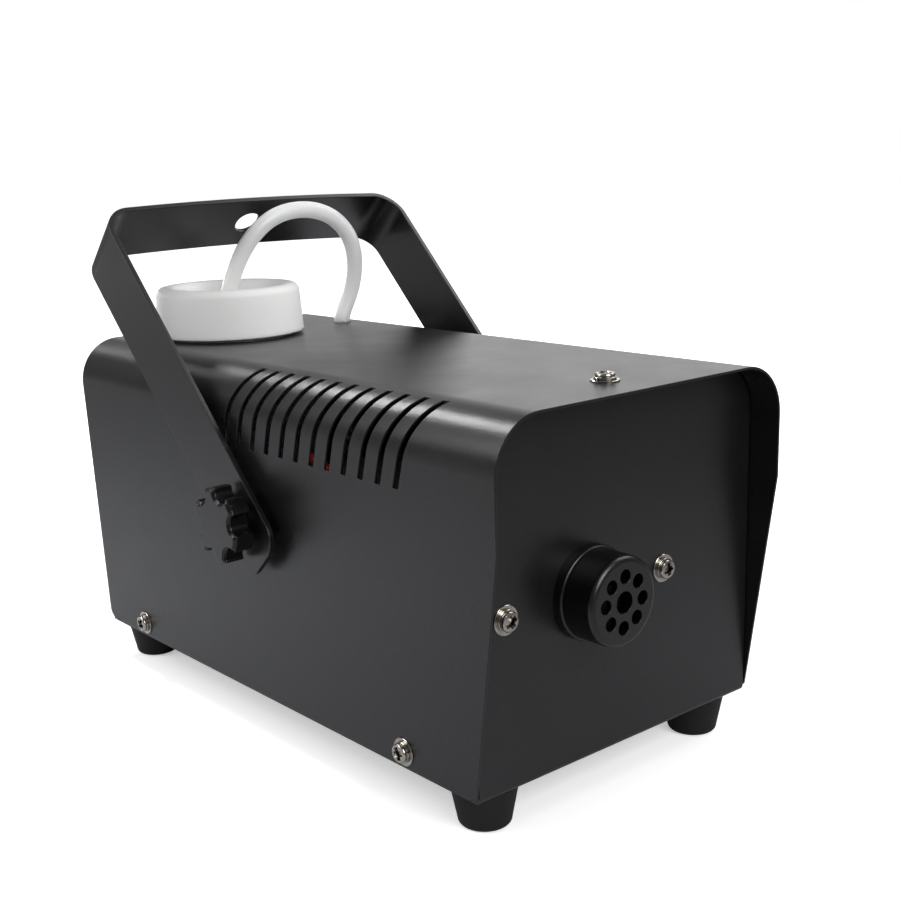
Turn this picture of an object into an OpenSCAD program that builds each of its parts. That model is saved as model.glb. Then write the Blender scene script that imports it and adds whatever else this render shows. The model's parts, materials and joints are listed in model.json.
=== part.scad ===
// Small fog machine: folded steel case, tilting strap handle, refill tank with a screw cap,
// heater with a perforated nozzle, and the vibration pump that feeds it.
// X is the width, the nozzle faces -Y, +Z is up, and the feet stand on Z = 0.

/* [Top cover] */
// Width over the outside of the top cover
cover_w = 125; // [118:1:145]
// Length of the top of the cover, front edge to rear edge
cover_l = 246; // [242:1:290]
// Height of the cover, lower edge to top
cover_h = 114.5; // [110:0.5:130]
// Thickness of the cover's sheet
cover_t = 0.8; // [0.6:0.1:1.5]
// Outside radius of the bend between the top and each side
cover_r = 17; // [12:0.5:19]
// How far the front panel sits back from the cover's front edge
hood_front = 11; // [8:0.5:14]
// How far the rear panel sits back from the cover's rear edge
hood_rear = 5; // [3:0.5:8]
// Length of the upright part of each side's front edge, from the top
hood_upright = 38; // [24:1:60]
// Radius of the sides' lower corners
corner_r = 4; // [2:0.5:8]
// Rounding of the cover's lower front corners
toe_r = 1.2; // [0.8:0.1:4]

/* [Vent slots] */
// Number of slots on each shoulder
slot_count = 12; // [6:1:14]
// Distance from one slot to the next
slot_pitch = 8.6; // [7:0.1:9.5]
// Width of a slot
slot_w = 2.5; // [2:0.1:4]
// Distance from the cover's front edge to the first slot
slot_start = 43.1; // [36:0.1:50]
// Height of the slots' lower ends above the cover's lower edge
slot_low = 88.5; // [84:0.5:92]
// How far the slots reach over the top, measured from the side
slot_over = 12.4; // [8:0.1:15]

/* [Chassis] */
// Thickness of the chassis sheet
chassis_t = 1; // [0.8:0.1:1.5]
// Height of the flanges that the side screws hold
flange_h = 12; // [10:0.5:18]
// Height of the floor's rear lip, that the rear panel is riveted to
lip_h = 6.5; // [5.5:0.5:7]
// Outside radius of the chassis bends
bend_r = 2; // [1.6:0.1:3]
// Gap between the panels' edges and the cover
panel_gap = 0.4; // [0.2:0.1:1]
// Depth of the tab under the cover's top screw
tab_l = 14; // [12:1:20]
// Width of the tab under the cover's top screw
tab_w = 40; // [20:1:60]

/* [Feet] */
// Height of a rubber foot
foot_h = 13.8; // [10:0.1:20]
// Diameter of a foot at the chassis
foot_top_d = 21.6; // [16:0.1:24]
// Diameter of a foot at the ground
foot_base_d = 16.2; // [13:0.1:17]
// Distance from the machine's side to the foot centres
foot_side = 13.7; // [12.5:0.1:20]
// Distance from the front and rear panels to the foot centres
foot_end = 12.1; // [10.9:0.1:16]

/* [Handle] */
// Width of the handle strap
strap_w = 25; // [20:0.5:30]
// Thickness of the handle strap
strap_t = 2; // [1.5:0.1:3]
// Distance from the pivot axis to the outside of the grip bar
handle_l = 130.3; // [129.5:0.1:135]
// Gap between each arm and the cover
handle_gap = 3.5; // [3:0.1:6]
// Outside radius of the strap's bends
strap_r = 12; // [8:0.5:16]
// Rise of the grip bar at its middle
bar_bow = 1.3; // [0.8:0.1:2]
// Lean of the handle towards the rear at rest, from upright
handle_lean = 44.3; // [35:0.1:46]
// Distance from the cover's front edge to the pivot axis
pivot_back = 122.5; // [118:0.5:126]
// Height of the pivot axis above the cover's lower edge
pivot_up = 65; // [63:0.5:68]
// Length of each arm below the pivot
arm_tail = 18; // [14:0.5:22]
// Corner radius at the arms' lower ends
arm_corner = 8; // [5:0.5:10]
// Diameter of the hanging hole in the grip bar
hang_d = 10.5; // [8:0.1:14]

/* [Clamp knobs] */
// Diameter over the knob's lobes
knob_d = 26; // [23:0.5:32]
// Depth of the lobes
lobe_h = 7.7; // [6:0.1:12]
// Height of the hub between lobes and arm
hub_h = 2.3; // [1:0.1:4]
// Number of lobes
lobe_count = 6; // [5:1:8]
// Thread diameter of the clamp studs
stud_d = 6; // [5:0.1:6.4]

/* [Fasteners] */
// Thread diameter of the case screws
screw_d = 4; // [3.5:0.1:4.4]
// Diameter of a case screw's head
head_d = 7; // [6.4:0.1:8]
// Height of a case screw's head
head_h = 1.9; // [1.6:0.1:2.6]
// Outside diameter of a washer
washer_d = 9.2; // [8.6:0.1:9.4]
// Thickness of a washer
washer_t = 0.8; // [0.5:0.1:1.2]
// Height of the side screws above the cover's lower edge
side_screw_up = 4.8; // [4.7:0.1:6]
// Distance from the front panel to the front side screws
side_screw_front = 33.5; // [26:0.5:45]
// Distance from the rear panel to the rear side screws
side_screw_rear = 31; // [26:0.5:45]
// Distance from the front panel to the top screw
top_screw_in = 7.4; // [6:0.1:9]

/* [Nozzle] */
// Offset of the nozzle to the left of the centre plane
nozzle_off = 15.6; // [12:0.1:18]
// Height of the nozzle axis above the cover's lower edge
nozzle_up = 53.2; // [50:0.1:58]
// Outside diameter of the perforated nozzle cap
nozzle_d = 28.2; // [26:0.1:32]
// Wall of the nozzle cap
nozzle_wall = 2; // [1.5:0.1:2.5]
// Projection of the nozzle cap from the front panel
nozzle_l = 14.8; // [13:0.1:20]
// Diameter of the collar at the panel
collar_d = 29.8; // [28.6:0.1:34]
// Thickness of the collar
collar_t = 3.4; // [2:0.1:4]
// Number of outlets around the middle one
outlet_count = 8; // [5:1:9]
// Diameter of each small outlet
outlet_d = 4.4; // [3:0.1:5]
// Diameter of the middle outlet
outlet_mid_d = 6.8; // [5:0.1:8]
// Radius of the ring of small outlets
outlet_ring_r = 7.9; // [7.4:0.1:8.6]
// Distance between the two screws that carry the heater
heater_screw_gap = 68; // [66:0.5:72]

/* [Heater] */
// Width of the cast heater block
block_w = 46; // [40:1:48]
// Height of the cast heater block
block_h = 40; // [34:1:44]
// Length of the cast heater block
block_l = 98; // [80:1:104]
// Gap between the front panel and the heater
heater_gap = 12; // [10:0.5:16]
// Thickness of the heater's insulation
wrap_t = 5; // [3:0.5:6]
// Thickness of the sheet sleeve around the insulation
sleeve_t = 0.8; // [0.6:0.1:1.2]

/* [Tank] */
// Width of the tank
tank_w = 60; // [54:1:62]
// Depth of the tank
tank_d = 50; // [50:1:51]
// Wall of the tank
tank_wall = 1.5; // [1:0.1:2.5]
// Offset of the tank to the left of the centre plane
tank_off = 12; // [10:0.5:13]
// Distance from the cover's rear edge to the tank's axis
tank_back = 34; // [33.5:0.1:35.5]
// Outside diameter of the cap at its skirt
cap_d = 58.8; // [56:0.1:60]
// Height of the cap
cap_h = 18.7; // [16:0.1:22]
// Gap between the cap and the cover
cap_lift = 1.2; // [0.6:0.1:2]
// Depth of the dish in the top of the cap
dish_depth = 7; // [4:0.1:8]

/* [Hose] */
// Outside diameter of the supply hose
hose_d = 6.5; // [5:0.1:7]
// Distance from the centre plane to the hose hole
hose_x = 38.7; // [34:0.1:40]
// Distance from the cover's rear edge to the hose hole
hose_back = 40.3; // [38:0.1:44]
// Outside diameter of the tube from the pump to the heater
delivery_d = 6; // [5.6:0.1:6.4]

/* [Pump] */
// Height of the pump axis above the chassis floor
pump_up = 27.6; // [24:0.1:36]
// Diameter of the pump's coil
coil_d = 30; // [26:0.5:34]
// Length of the pump's coil
coil_l = 32; // [26:1:40]
// Diameter of the plunger
plunger_d = 7; // [5:0.1:8]
// Stroke of the plunger
plunger_stroke = 3; // [1:0.1:4]

/* [Rear panel] */
// Distance from the centre plane to the column of rear controls
rear_x = 40; // [38:0.5:42]
// Height of the rocker switch above the chassis floor
switch_up = 88.6; // [84:0.1:92]
// Height of the fuse holder above the chassis floor
fuse_up = 63.6; // [60:0.1:66]
// Height of the remote control socket above the chassis floor
socket_up = 40.6; // [38:0.1:43]
// Height of the mains gland above the chassis floor
gland_up = 16.6; // [14:0.1:18]
// Projection of the mains gland from the rear panel
gland_l = 12; // [10:0.1:14]
// Diameter of the mains lead that the gland takes
gland_bore_d = 7.2; // [5:0.1:8]

/* [Hidden] */
$fn = 48;

eps = 0.01;
screw_play = 0.05;         // radial gap between a thread and its tapped hole
hole_play = 0.3;           // radial gap of a clearance hole
run_play = 0.3;            // gap between pieces that move past each other

// Heights
floor_z = foot_h;
floor_top = floor_z + chassis_t;
cover_z = floor_z + 1.7;
top_z = cover_z + cover_h;
under_z = top_z - cover_t;
pivot_z = cover_z + pivot_up;
nozzle_z = cover_z + nozzle_up;

// Depths: the nozzle's front and the gland's rear are the ends of the part
nozzle_past = nozzle_l - hood_front;
gland_past = gland_l - hood_rear;
front_y = (nozzle_past - gland_past - cover_l) / 2;
rear_y = front_y + cover_l;
panel_y = front_y + hood_front;
panel_in = panel_y + chassis_t;
back_y = rear_y - hood_rear;
back_in = back_y - chassis_t;
pivot_y = front_y + pivot_back;
tank_y = rear_y - tank_back;
hose_y = rear_y - hose_back;

// Rivets of the rear panel
rivet_r = 1.2;
rivet_head_r = 2.2;
rivet_head_h = 0.9;
rivet_at = [-44, 0, 44];

// Widths
inner_w = cover_w - 2 * cover_t;
panel_w = inner_w - 2 * panel_gap;
arm_in = cover_w / 2 + handle_gap;
handle_w = 2 * (arm_in + strap_t);
nozzle_x = -nozzle_off;
tank_x = -tank_off;
foot_x = cover_w / 2 - foot_side;
foot_y = [panel_y + foot_end, back_y - foot_end];

// Screws
washer_hole = screw_d / 2 + 0.15;
side_screw_z = cover_z + side_screw_up;
side_screw_y = [panel_y + side_screw_front, back_y - side_screw_rear];
top_screw_y = panel_y + top_screw_in;
nut_r = 3.6;
nut_h = 3;
screw_l = 7;

// Slots
slot_z = cover_z + slot_low;
slot_skew = 13;            // turn of the slots about the vertical
slot_rake = 15.6;          // lean of the slots in side view

// Handle
grip_r = handle_l - strap_t;
grip_half = handle_w / 2 - strap_r;
bow_r = (grip_half * grip_half + bar_bow * bar_bow) / (2 * bar_bow);

// Knobs
knob_core_r = 6.6;
notch_r = 3.6;
notch_at = knob_d / 2;
knob_chamfer = 0.7;
stud_sink = 6;
pivot_nut_h = 5;
pivot_nut_r = 6.2;
spacer_r = 7;

// Nozzle
nozzle_turn = 2.5;         // how far the cap stops short of the upright, in degrees

// Heater
heater_screw_drop = 0.4;   // the two screws sit this far below the nozzle's axis
block_y = panel_in + heater_gap;
flange_t = 6;
block_back = block_y + block_l;
rod_r = 3.2;
rod_gap = 13;
rod_up = 8;
rod_out = 9;
rod_tab = 7;
rod_sink = 84;
wrap_front = 10;
wrap_back = 4;
sleeve_w = block_w + 2 * (wrap_t + sleeve_t);
sleeve_h = block_h + 2 * (wrap_t + sleeve_t);
inlet_x = 8;
inlet_z = -8;
inlet_l = 7;
inlet_r = 2.4;

// Tank
neck_r = cap_d / 2 - 5.2;
thread_r = neck_r + 0.9;
shoulder_z = top_z - 14;
cap_z = top_z + cap_lift;
cap_top = cap_z + cap_h;
cap_top_r = cap_d / 2 - 0.6;
cap_round = 2.6;
cap_disc = 2;
cap_rim = 3.2;
seal_t = 1.2;
dish_z = cap_top - dish_depth;
neck_top = dish_z - cap_disc - seal_t;
hose_hole_r = hose_d / 2 + hole_play;
filter_h = 16;
filter_r = 6;

// Pump
pump_x = hose_x;
pump_z = floor_top + pump_up;
pump_mid = 24;             // the coil's middle behind the handle's pivot
pump_y = pivot_y + pump_mid;
tube_r = plunger_d / 2 + run_play + 1.2;
barb_r = 2.6;
barb_l = 10;
barb_cover = 8;            // how far a hose is pushed over a barb
pump_half = coil_l / 2 + 12;
frame_t = 2;
frame_w = coil_d + 2 * frame_t;
plunger_l = 18;
inlet_end = pump_y + pump_half + barb_l;
outlet_end = pump_y - pump_half - barb_l;

// Circuit board
board_w = 34;
board_l = 68;
board_t = 1.6;
terminal_w = 19;
board_x = inner_w / 2 - chassis_t - nut_h - 1 - board_w / 2;
board_y = panel_in + 52;
board_z = floor_top + 10;

// Rear controls
switch_z = floor_z + switch_up;
fuse_z = floor_z + fuse_up;
socket_z = floor_z + socket_up;
gland_z = floor_z + gland_up;
switch_w = 12.9;
switch_h = 18.9;
switch_depth = 17;
switch_tab = 7;
bezel_t = 1.8;
rocker_w = 9.6;
rocker_h = 14.6;
rocker_turn = 9;
fuse_r = 6;
fuse_body = 26;
fuse_tab = 5;
socket_r = 7.6;
gland_r = 6.2;
gland_in = 9;
light_r = 2.5;
light_x = 20.5;

// Route of the supply hose, from the cap's dish over to the hole in the cover
hose_route = [
    [tank_x, tank_y, dish_z],
    [tank_x, tank_y, dish_z + 2.5],
    [-11.6, 85.4, 150],
    [-10.6, 82.8, 156],
    [-8.6, 80.3, 162],
    [-5, 78, 168],
    [0, 76.2, 173],
    [6, 74.9, 176.2],
    [12.5, 74, 177.6],
    [19, 73.3, 177.6],
    [25, 73, 176.4],
    [30.5, 72.9, 174],
    [35.5, 73.2, 170.2],
    [39.5, 74, 165.4],
    [42.2, 75.2, 159.8],
    [43.6, 76.8, 153.6],
    [43.6, 78.4, 147],
    [42.4, 79.8, 141],
    [40.2, 80.9, 135.4],
    [hose_x, hose_y, top_z + 1.5],
    [hose_x, hose_y, top_z]];

// ---------- Small helpers ----------

function unit(v) = v / norm(v);

// Direction of a route at point i
function route_dir(p, i) =
    i == 0 ? unit(p[1] - p[0])
    : i == len(p) - 1 ? unit(p[i] - p[i - 1])
    : unit(unit(p[i + 1] - p[i]) + unit(p[i] - p[i - 1]));

// The vector u turned as little as it takes to lie square to the direction t
function squared(u, t) = unit(u - (u * t) * t);

// One sideways vector for each point of a route, carried along it without twisting
function sideways(p, u, i = 0) =
    i == len(p) ? [] : let (v = squared(u, route_dir(p, i))) concat([v], sideways(p, v, i + 1));

// A round tube swept along a route
module swept_tube(p, d, sides = 10) {
    start = cross(route_dir(p, 0), [0.31, 0.53, 0.79]);
    across = sideways(p, start);
    turns = [for (k = [0 : sides - 1]) 360 * k / sides];
    rings = [for (i = [0 : len(p) - 1], a = turns)
        p[i] + d / 2 * (cos(a) * across[i] + sin(a) * cross(route_dir(p, i), across[i]))];
    last = (len(p) - 1) * sides;
    polyhedron(points = rings, convexity = 6, faces = concat(
        [[for (k = [0 : sides - 1]) k]],
        [for (i = [0 : len(p) - 2], k = [0 : sides - 1])
            [i * sides + k, (i + 1) * sides + k, (i + 1) * sides + (k + 1) % sides,
             i * sides + (k + 1) % sides]],
        [[for (k = [sides - 1 : -1 : 0]) last + k]]));
}

// Lays the flat shape in the XZ plane and extrudes it from y0 to y1
module along_y(y0, y1) {
    translate([0, y1, 0]) rotate([90, 0, 0]) linear_extrude(y1 - y0) children();
}

// Lays the flat shape in the YZ plane and extrudes it from x0 to x1
module along_x(x0, x1) {
    translate([x0, 0, 0]) rotate([90, 0, 90]) linear_extrude(x1 - x0) children();
}

module rod_y(r, y0, y1) {
    translate([0, y0, 0]) rotate([-90, 0, 0]) cylinder(r = r, h = y1 - y0);
}

module rod_x(r, x0, x1) {
    translate([x0, 0, 0]) rotate([0, 90, 0]) cylinder(r = r, h = x1 - x0);
}

module box(x0, x1, y0, y1, z0, z1) {
    translate([x0, y0, z0]) cube([x1 - x0, y1 - y0, z1 - z0]);
}

// A rectangle centred on the origin, with round corners
module rounded(w, h, r) {
    square([w - 2 * r, h], center = true);
    square([w, h - 2 * r], center = true);
    for (x = [-1, 1], y = [-1, 1]) translate([x * (w / 2 - r), y * (h / 2 - r)]) circle(r);
}

// The case's section: upright sides and a flat top with round shoulders
module arch(w, z0, z1, r) {
    translate([-w / 2, z0]) square([w, z1 - r - z0]);
    translate([r - w / 2, z0]) square([w - 2 * r, z1 - z0]);
    for (x = [-1, 1]) translate([x * (w / 2 - r), z1 - r]) circle(r);
}

function arc_points(c, r, a0, a1, n = 8) =
    [for (i = [0 : n]) c + r * [cos(a0 + (a1 - a0) * i / n), sin(a0 + (a1 - a0) * i / n)]];

// ---------- Fasteners ----------

// Pan-head screw with a cross recess: the head stands on Z = 0 and the thread runs down
module pan_screw(l) {
    dome_r = head_d * 0.7;
    recess_w = head_d * 0.17;
    difference() {
        union() {
            intersection() {
                cylinder(d = head_d, h = head_h);
                translate([0, 0, head_h - dome_r]) sphere(dome_r);
            }
            translate([0, 0, -l]) cylinder(d = screw_d, h = l + eps);
        }
        for (a = [0, 90]) rotate(a) translate([-head_d * 0.28, -recess_w / 2, head_h - 1.5])
            cube([head_d * 0.56, recess_w, 2]);
    }
}

module washer() {
    difference() {
        cylinder(d = washer_d, h = washer_t);
        translate([0, 0, -eps]) cylinder(r = washer_hole, h = washer_t + 2 * eps);
    }
}

// Places a piece on every screw that holds the cover, with Z pointing out of the case
module at_cover_screws() {
    for (x = [-1, 1], y = side_screw_y)
        translate([x * cover_w / 2, y, side_screw_z]) rotate([0, x * 90, 0]) children();
    translate([0, top_screw_y, top_z]) children();
}

module cover_screws() {
    color("#7d7a76") at_cover_screws() translate([0, 0, washer_t]) pan_screw(screw_l);
}

module cover_washers() {
    color("#8b8883") at_cover_screws() washer();
}

module clinch_nuts() {
    color("#b9bcc0") at_cover_screws() translate([0, 0, -cover_t - chassis_t - nut_h])
        difference() {
            cylinder(r = nut_r, h = nut_h);
            translate([0, 0, -eps]) cylinder(r = screw_d / 2 + screw_play, h = nut_h + 2 * eps);
        }
}

// Places a piece on the two screws that carry the heater, with Z pointing forwards
module at_heater_screws(y) {
    for (x = [-1, 1])
        translate([nozzle_x + x * heater_screw_gap / 2, y, nozzle_z - heater_screw_drop])
        rotate([90, 0, 0]) children();
}

module heater_screws() {
    color("#7d7a76") at_heater_screws(panel_y - washer_t)
        pan_screw(washer_t + chassis_t + heater_gap + flange_t - 1);
}

module heater_washers() {
    color("#8b8883") at_heater_screws(panel_y) washer();
}

module heater_standoffs() {
    color("#c3c6ca") at_heater_screws(block_y) difference() {
        cylinder(d = 8, h = heater_gap);
        translate([0, 0, -eps]) cylinder(r = washer_hole, h = heater_gap + 2 * eps);
    }
}

// ---------- Case ----------

module side_outline() {
    cf = [front_y + hood_front + toe_r, cover_z + toe_r];
    cr = [back_y - corner_r, cover_z + corner_r];
    lean_f = atan(hood_front / (cover_h - hood_upright));
    lean_r = atan(hood_rear / cover_h);
    polygon(concat(
        [[rear_y, top_z + 1], [front_y, top_z + 1], [front_y, top_z - hood_upright]],
        arc_points(cf, toe_r, 180 + lean_f, 270),
        arc_points(cr, corner_r, 270, 360 - lean_r),
        [[rear_y, top_z]]));
}

// Slanted cuts through both shoulders of the cover, with level lower ends
module vent_slots() {
    past = 3;
    for (side = [0, 1], i = [0 : slot_count - 1]) mirror([side, 0, 0]) intersection() {
        translate([-cover_w / 2, front_y + slot_start + i * slot_pitch, slot_z])
            rotate([slot_rake, 0, -slot_skew]) translate([-past, -slot_w / 2, -past])
                cube([2 * past + slot_over, slot_w, cover_h]);
        box(-cover_w / 2 - past, slot_over - cover_w / 2, front_y, rear_y, slot_z, top_z + 1);
    }
}

module top_cover() {
    color("#2b2b2d") difference() {
        intersection() {
            along_y(front_y, rear_y) difference() {
                arch(cover_w, cover_z, top_z, cover_r);
                arch(inner_w, cover_z - 1, under_z, cover_r - cover_t);
            }
            along_x(-cover_w, cover_w) side_outline();
        }
        vent_slots();
        at_cover_screws() translate([0, 0, -cover_t - eps])
            cylinder(r = screw_d / 2 + hole_play, h = cover_t + 2 * eps);
        translate([0, pivot_y, pivot_z]) rod_x(stud_d / 2 + hole_play, -cover_w, cover_w);
        translate([tank_x, tank_y, under_z - eps])
            cylinder(r = thread_r + 0.8, h = cover_t + 2 * eps);
        translate([hose_x, hose_y, under_z - eps])
            cylinder(r = hose_hole_r, h = cover_t + 2 * eps);
    }
}

module rear_cutouts() {
    translate([rear_x, 0, switch_z])
        box(-switch_w / 2, switch_w / 2, back_in - 1, back_y + 1, -switch_h / 2, switch_h / 2);
    translate([rear_x, 0, fuse_z]) rod_y(fuse_r + screw_play, back_in - 1, back_y + 1);
    translate([rear_x, 0, socket_z]) rod_y(socket_r + screw_play, back_in - 1, back_y + 1);
    translate([rear_x, 0, gland_z]) rod_y(gland_r, back_in - 1, back_y + 1);
    translate([light_x, 0, switch_z]) rod_y(light_r, back_in - 1, back_y + 1);
}

// The sheet's outline in side view: the front panel, the floor and the lip at its rear
module folded_strip() {
    top = 2 * cover_h;
    difference() {
        translate([(panel_y + back_in) / 2, floor_z + top / 2])
            rounded(back_in - panel_y, top, bend_r);
        translate([(panel_in + back_in - chassis_t) / 2, floor_top + top / 2])
            rounded(back_in - chassis_t - panel_in, top, bend_r - chassis_t);
        translate([back_in - bend_r, floor_z + lip_h]) square([2 * bend_r, top]);
    }
}

module panel_outline(low) {
    arch(panel_w, low, under_z - panel_gap, cover_r - cover_t - panel_gap);
}

module chassis() {
    color("#2b2b2d") difference() {
        union() {
            // front panel, floor and rear lip, folded from one strip
            intersection() {
                along_x(-panel_w / 2, panel_w / 2) folded_strip();
                along_y(panel_y - 1, back_y + 1) panel_outline(floor_z - 1);
            }
            // side flanges, folded up from the floor
            along_y(panel_in + bend_r, back_in - 2 * bend_r) difference() {
                translate([0, floor_z + cover_h / 2]) rounded(inner_w, cover_h, bend_r);
                translate([0, floor_top + cover_h / 2])
                    rounded(inner_w - 2 * chassis_t, cover_h, bend_r - chassis_t);
                translate([-cover_w, floor_z + flange_h]) square([2 * cover_w, cover_h]);
            }
            // tab under the cover, for the top screw
            box(-tab_w / 2, tab_w / 2, panel_y, panel_y + tab_l, under_z - chassis_t, under_z);
        }
        at_cover_screws() translate([0, 0, -cover_t - chassis_t - eps])
            cylinder(r = screw_d / 2 + hole_play, h = chassis_t + 2 * eps);
        at_heater_screws(panel_in + eps)
            cylinder(r = screw_d / 2 + hole_play, h = chassis_t + 2 * eps);
        translate([nozzle_x, 0, nozzle_z]) rod_y(9.5, panel_y - 1, panel_in + 1);
        at_feet() translate([0, 0, floor_z - 1])
            cylinder(r = screw_d / 2 + hole_play, h = chassis_t + 2);
        at_rivets() rod_y(rivet_r + screw_play, back_in - 2 * chassis_t, back_y);
    }
}

module rear_panel() {
    color("#2b2b2d") difference() {
        along_y(back_in, back_y) panel_outline(floor_z);
        rear_cutouts();
        at_rivets() rod_y(rivet_r + screw_play, back_in - 1, back_y + 1);
    }
}

module at_rivets() {
    for (x = rivet_at) translate([x, 0, floor_z + lip_h - rivet_head_r - 0.4]) children();
}

module panel_rivets() {
    tail_y = back_in - chassis_t;
    color("#8b8883") at_rivets() {
        rod_y(rivet_r, tail_y - eps, back_y + eps);
        rod_y(rivet_head_r, back_y, back_y + rivet_head_h);
        rod_y(rivet_head_r - 0.4, tail_y - rivet_head_h, tail_y);
    }
}

// ---------- Feet ----------

module at_feet() {
    for (x = [-1, 1], y = foot_y) translate([x * foot_x, y, 0]) children();
}

foot_round = 2;            // rounding of a foot's lower edge
foot_in = foot_round * (foot_top_d - foot_base_d) / 2 / foot_h;
foot_seat = foot_h - 5;    // height of the seat for the screw's head inside a foot

module rubber_feet() {
    color("#1c1c1c") at_feet() difference() {
        rotate_extrude() polygon(concat(
            [[0, 0]],
            arc_points([foot_base_d / 2 - foot_round + foot_in, foot_round], foot_round, 270, 360, 6),
            [[foot_top_d / 2, foot_h], [0, foot_h]]));
        translate([0, 0, -eps]) cylinder(r = head_d / 2 + 0.6, h = foot_seat + eps);
        cylinder(r = washer_hole, h = foot_h + eps);
    }
}

module foot_screws() {
    color("#7d7a76") at_feet() translate([0, 0, foot_seat]) rotate([180, 0, 0])
        pan_screw(foot_h - foot_seat + chassis_t + nut_h + 1);
}

module foot_nuts() {
    color("#b9bcc0") at_feet() translate([0, 0, floor_top]) difference() {
        cylinder(r = 4.04, h = nut_h, $fn = 6);
        translate([0, 0, -eps]) cylinder(r = screw_d / 2 + screw_play, h = nut_h + 2 * eps);
    }
}

// ---------- Handle ----------

// Section of the strap: two arms and a slightly crowned grip bar
module strap_section(w, l, r, big_r) {
    translate([-w / 2, -arm_tail - 1]) square([w, l - r + arm_tail + 1]);
    for (x = [-1, 1]) translate([x * (w / 2 - r), l - r]) circle(r);
    intersection() {
        translate([r - w / 2, 0]) square([w - 2 * r, l + bar_bow + 1]);
        translate([0, l + bar_bow - big_r]) circle(big_r, $fn = 720);
    }
}

module handle_bracket() {
    color("#29292b") translate([0, pivot_y, pivot_z]) rotate([-handle_lean, 0, 0]) difference() {
        intersection() {
            along_y(-strap_w / 2, strap_w / 2) difference() {
                strap_section(handle_w, handle_l, strap_r, bow_r);
                strap_section(handle_w - 2 * strap_t, grip_r, strap_r - strap_t, bow_r - strap_t);
            }
            along_x(-handle_w, handle_w) {
                translate([-strap_w / 2, arm_corner - arm_tail])
                    square([strap_w, handle_l + arm_tail]);
                translate([arm_corner - strap_w / 2, -arm_tail])
                    square([strap_w - 2 * arm_corner, arm_tail]);
                for (y = [-1, 1]) translate([y * (strap_w / 2 - arm_corner), arm_corner - arm_tail])
                    circle(arm_corner);
            }
        }
        rod_x(stud_d / 2 + hole_play, -handle_w, handle_w);
        cylinder(d = hang_d, h = handle_l + 10);
    }
}

module handle_spacers() {
    color("#1a1a1a") for (x = [-1, 1]) translate([x * (cover_w / 2 + handle_gap / 2), pivot_y, pivot_z])
        difference() {
            rod_x(spacer_r, -handle_gap / 2, handle_gap / 2);
            rod_x(stud_d / 2 + hole_play, -handle_gap, handle_gap);
        }
}

module pivot_nuts() {
    color("#b9bcc0") for (x = [-1, 1])
        translate([x * (inner_w / 2 - pivot_nut_h / 2), pivot_y, pivot_z]) difference() {
            rod_x(pivot_nut_r, -pivot_nut_h / 2, pivot_nut_h / 2);
            rod_x(stud_d / 2 + screw_play, -pivot_nut_h, pivot_nut_h);
        }
}

module knob_outline(shrink) {
    difference() {
        circle(knob_d / 2 - shrink);
        for (i = [0 : lobe_count - 1]) rotate(i * 360 / lobe_count + 10)
            translate([notch_at, 0]) circle(notch_r + shrink);
    }
}

// A star knob on the left arm: X = 0 is the arm's face and the knob points to -X
module star_knob() {
    difference() {
        union() {
            rod_x(knob_core_r, -hub_h - eps, 0);
            rotate([0, -90, 0]) rotate(90) {
                translate([0, 0, hub_h]) linear_extrude(lobe_h - knob_chamfer) knob_outline(0);
                translate([0, 0, hub_h]) linear_extrude(lobe_h) knob_outline(knob_chamfer);
            }
        }
        rod_x(stud_d / 2, -stud_sink, eps);
    }
}

module clamp_stud() {
    rod_x(stud_d / 2, -stud_sink, strap_t + handle_gap + cover_t + pivot_nut_h + 3);
}

module at_knob(side) {
    translate([side * handle_w / 2, pivot_y, pivot_z]) rotate(side < 0 ? 0 : 180) children();
}

module knob_left() {
    color("#303032") at_knob(-1) star_knob();
}

module knob_right() {
    color("#303032") at_knob(1) star_knob();
}

module stud_left() {
    color("#a9abad") at_knob(-1) clamp_stud();
}

module stud_right() {
    color("#a9abad") at_knob(1) clamp_stud();
}

// ---------- Nozzle and heater ----------

module at_nozzle() {
    translate([nozzle_x, panel_y, nozzle_z]) children();
}

module nozzle_cap() {
    face_t = 2.2;
    lip = 2;
    r = nozzle_d / 2;
    color("#2f2f31") at_nozzle() rotate([90, 0, 0]) difference() {
        rotate_extrude() polygon(concat(
            [[0, nozzle_l], [0, nozzle_l - face_t], [r - nozzle_wall, nozzle_l - face_t],
             [r - nozzle_wall, collar_t], [r, collar_t]],
            arc_points([r - lip, nozzle_l - lip], lip, 0, 90, 6)));
        translate([0, 0, nozzle_l - face_t - 1]) {
            cylinder(d = outlet_mid_d, h = face_t + 2);
            for (i = [0 : outlet_count - 1]) rotate(i * 360 / outlet_count - nozzle_turn)
                translate([outlet_ring_r, 0]) cylinder(d = outlet_d, h = face_t + 2);
        }
    }
}

module nozzle_collar() {
    lip = 0.8;
    r = collar_d / 2;
    color("#242426") at_nozzle() rotate([90, 0, 0]) rotate_extrude() polygon(concat(
        [[11, collar_t], [11, 0], [r, 0]],
        arc_points([r - lip, collar_t - lip], lip, 0, 90, 4)));
}

module nozzle_jet() {
    jet_bore = 0.8;
    color("#c9a24b") at_nozzle() difference() {
        union() {
            rod_y(4, 2 - nozzle_l + 4, chassis_t + heater_gap);
            rotate([-90, 0, 0]) translate([0, 0, -2]) cylinder(r = 7.5, h = 7, $fn = 6);
        }
        rod_y(jet_bore, -nozzle_l, chassis_t + heater_gap + 1);
    }
}

module at_block() {
    translate([nozzle_x, block_y, nozzle_z]) children();
}

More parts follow.
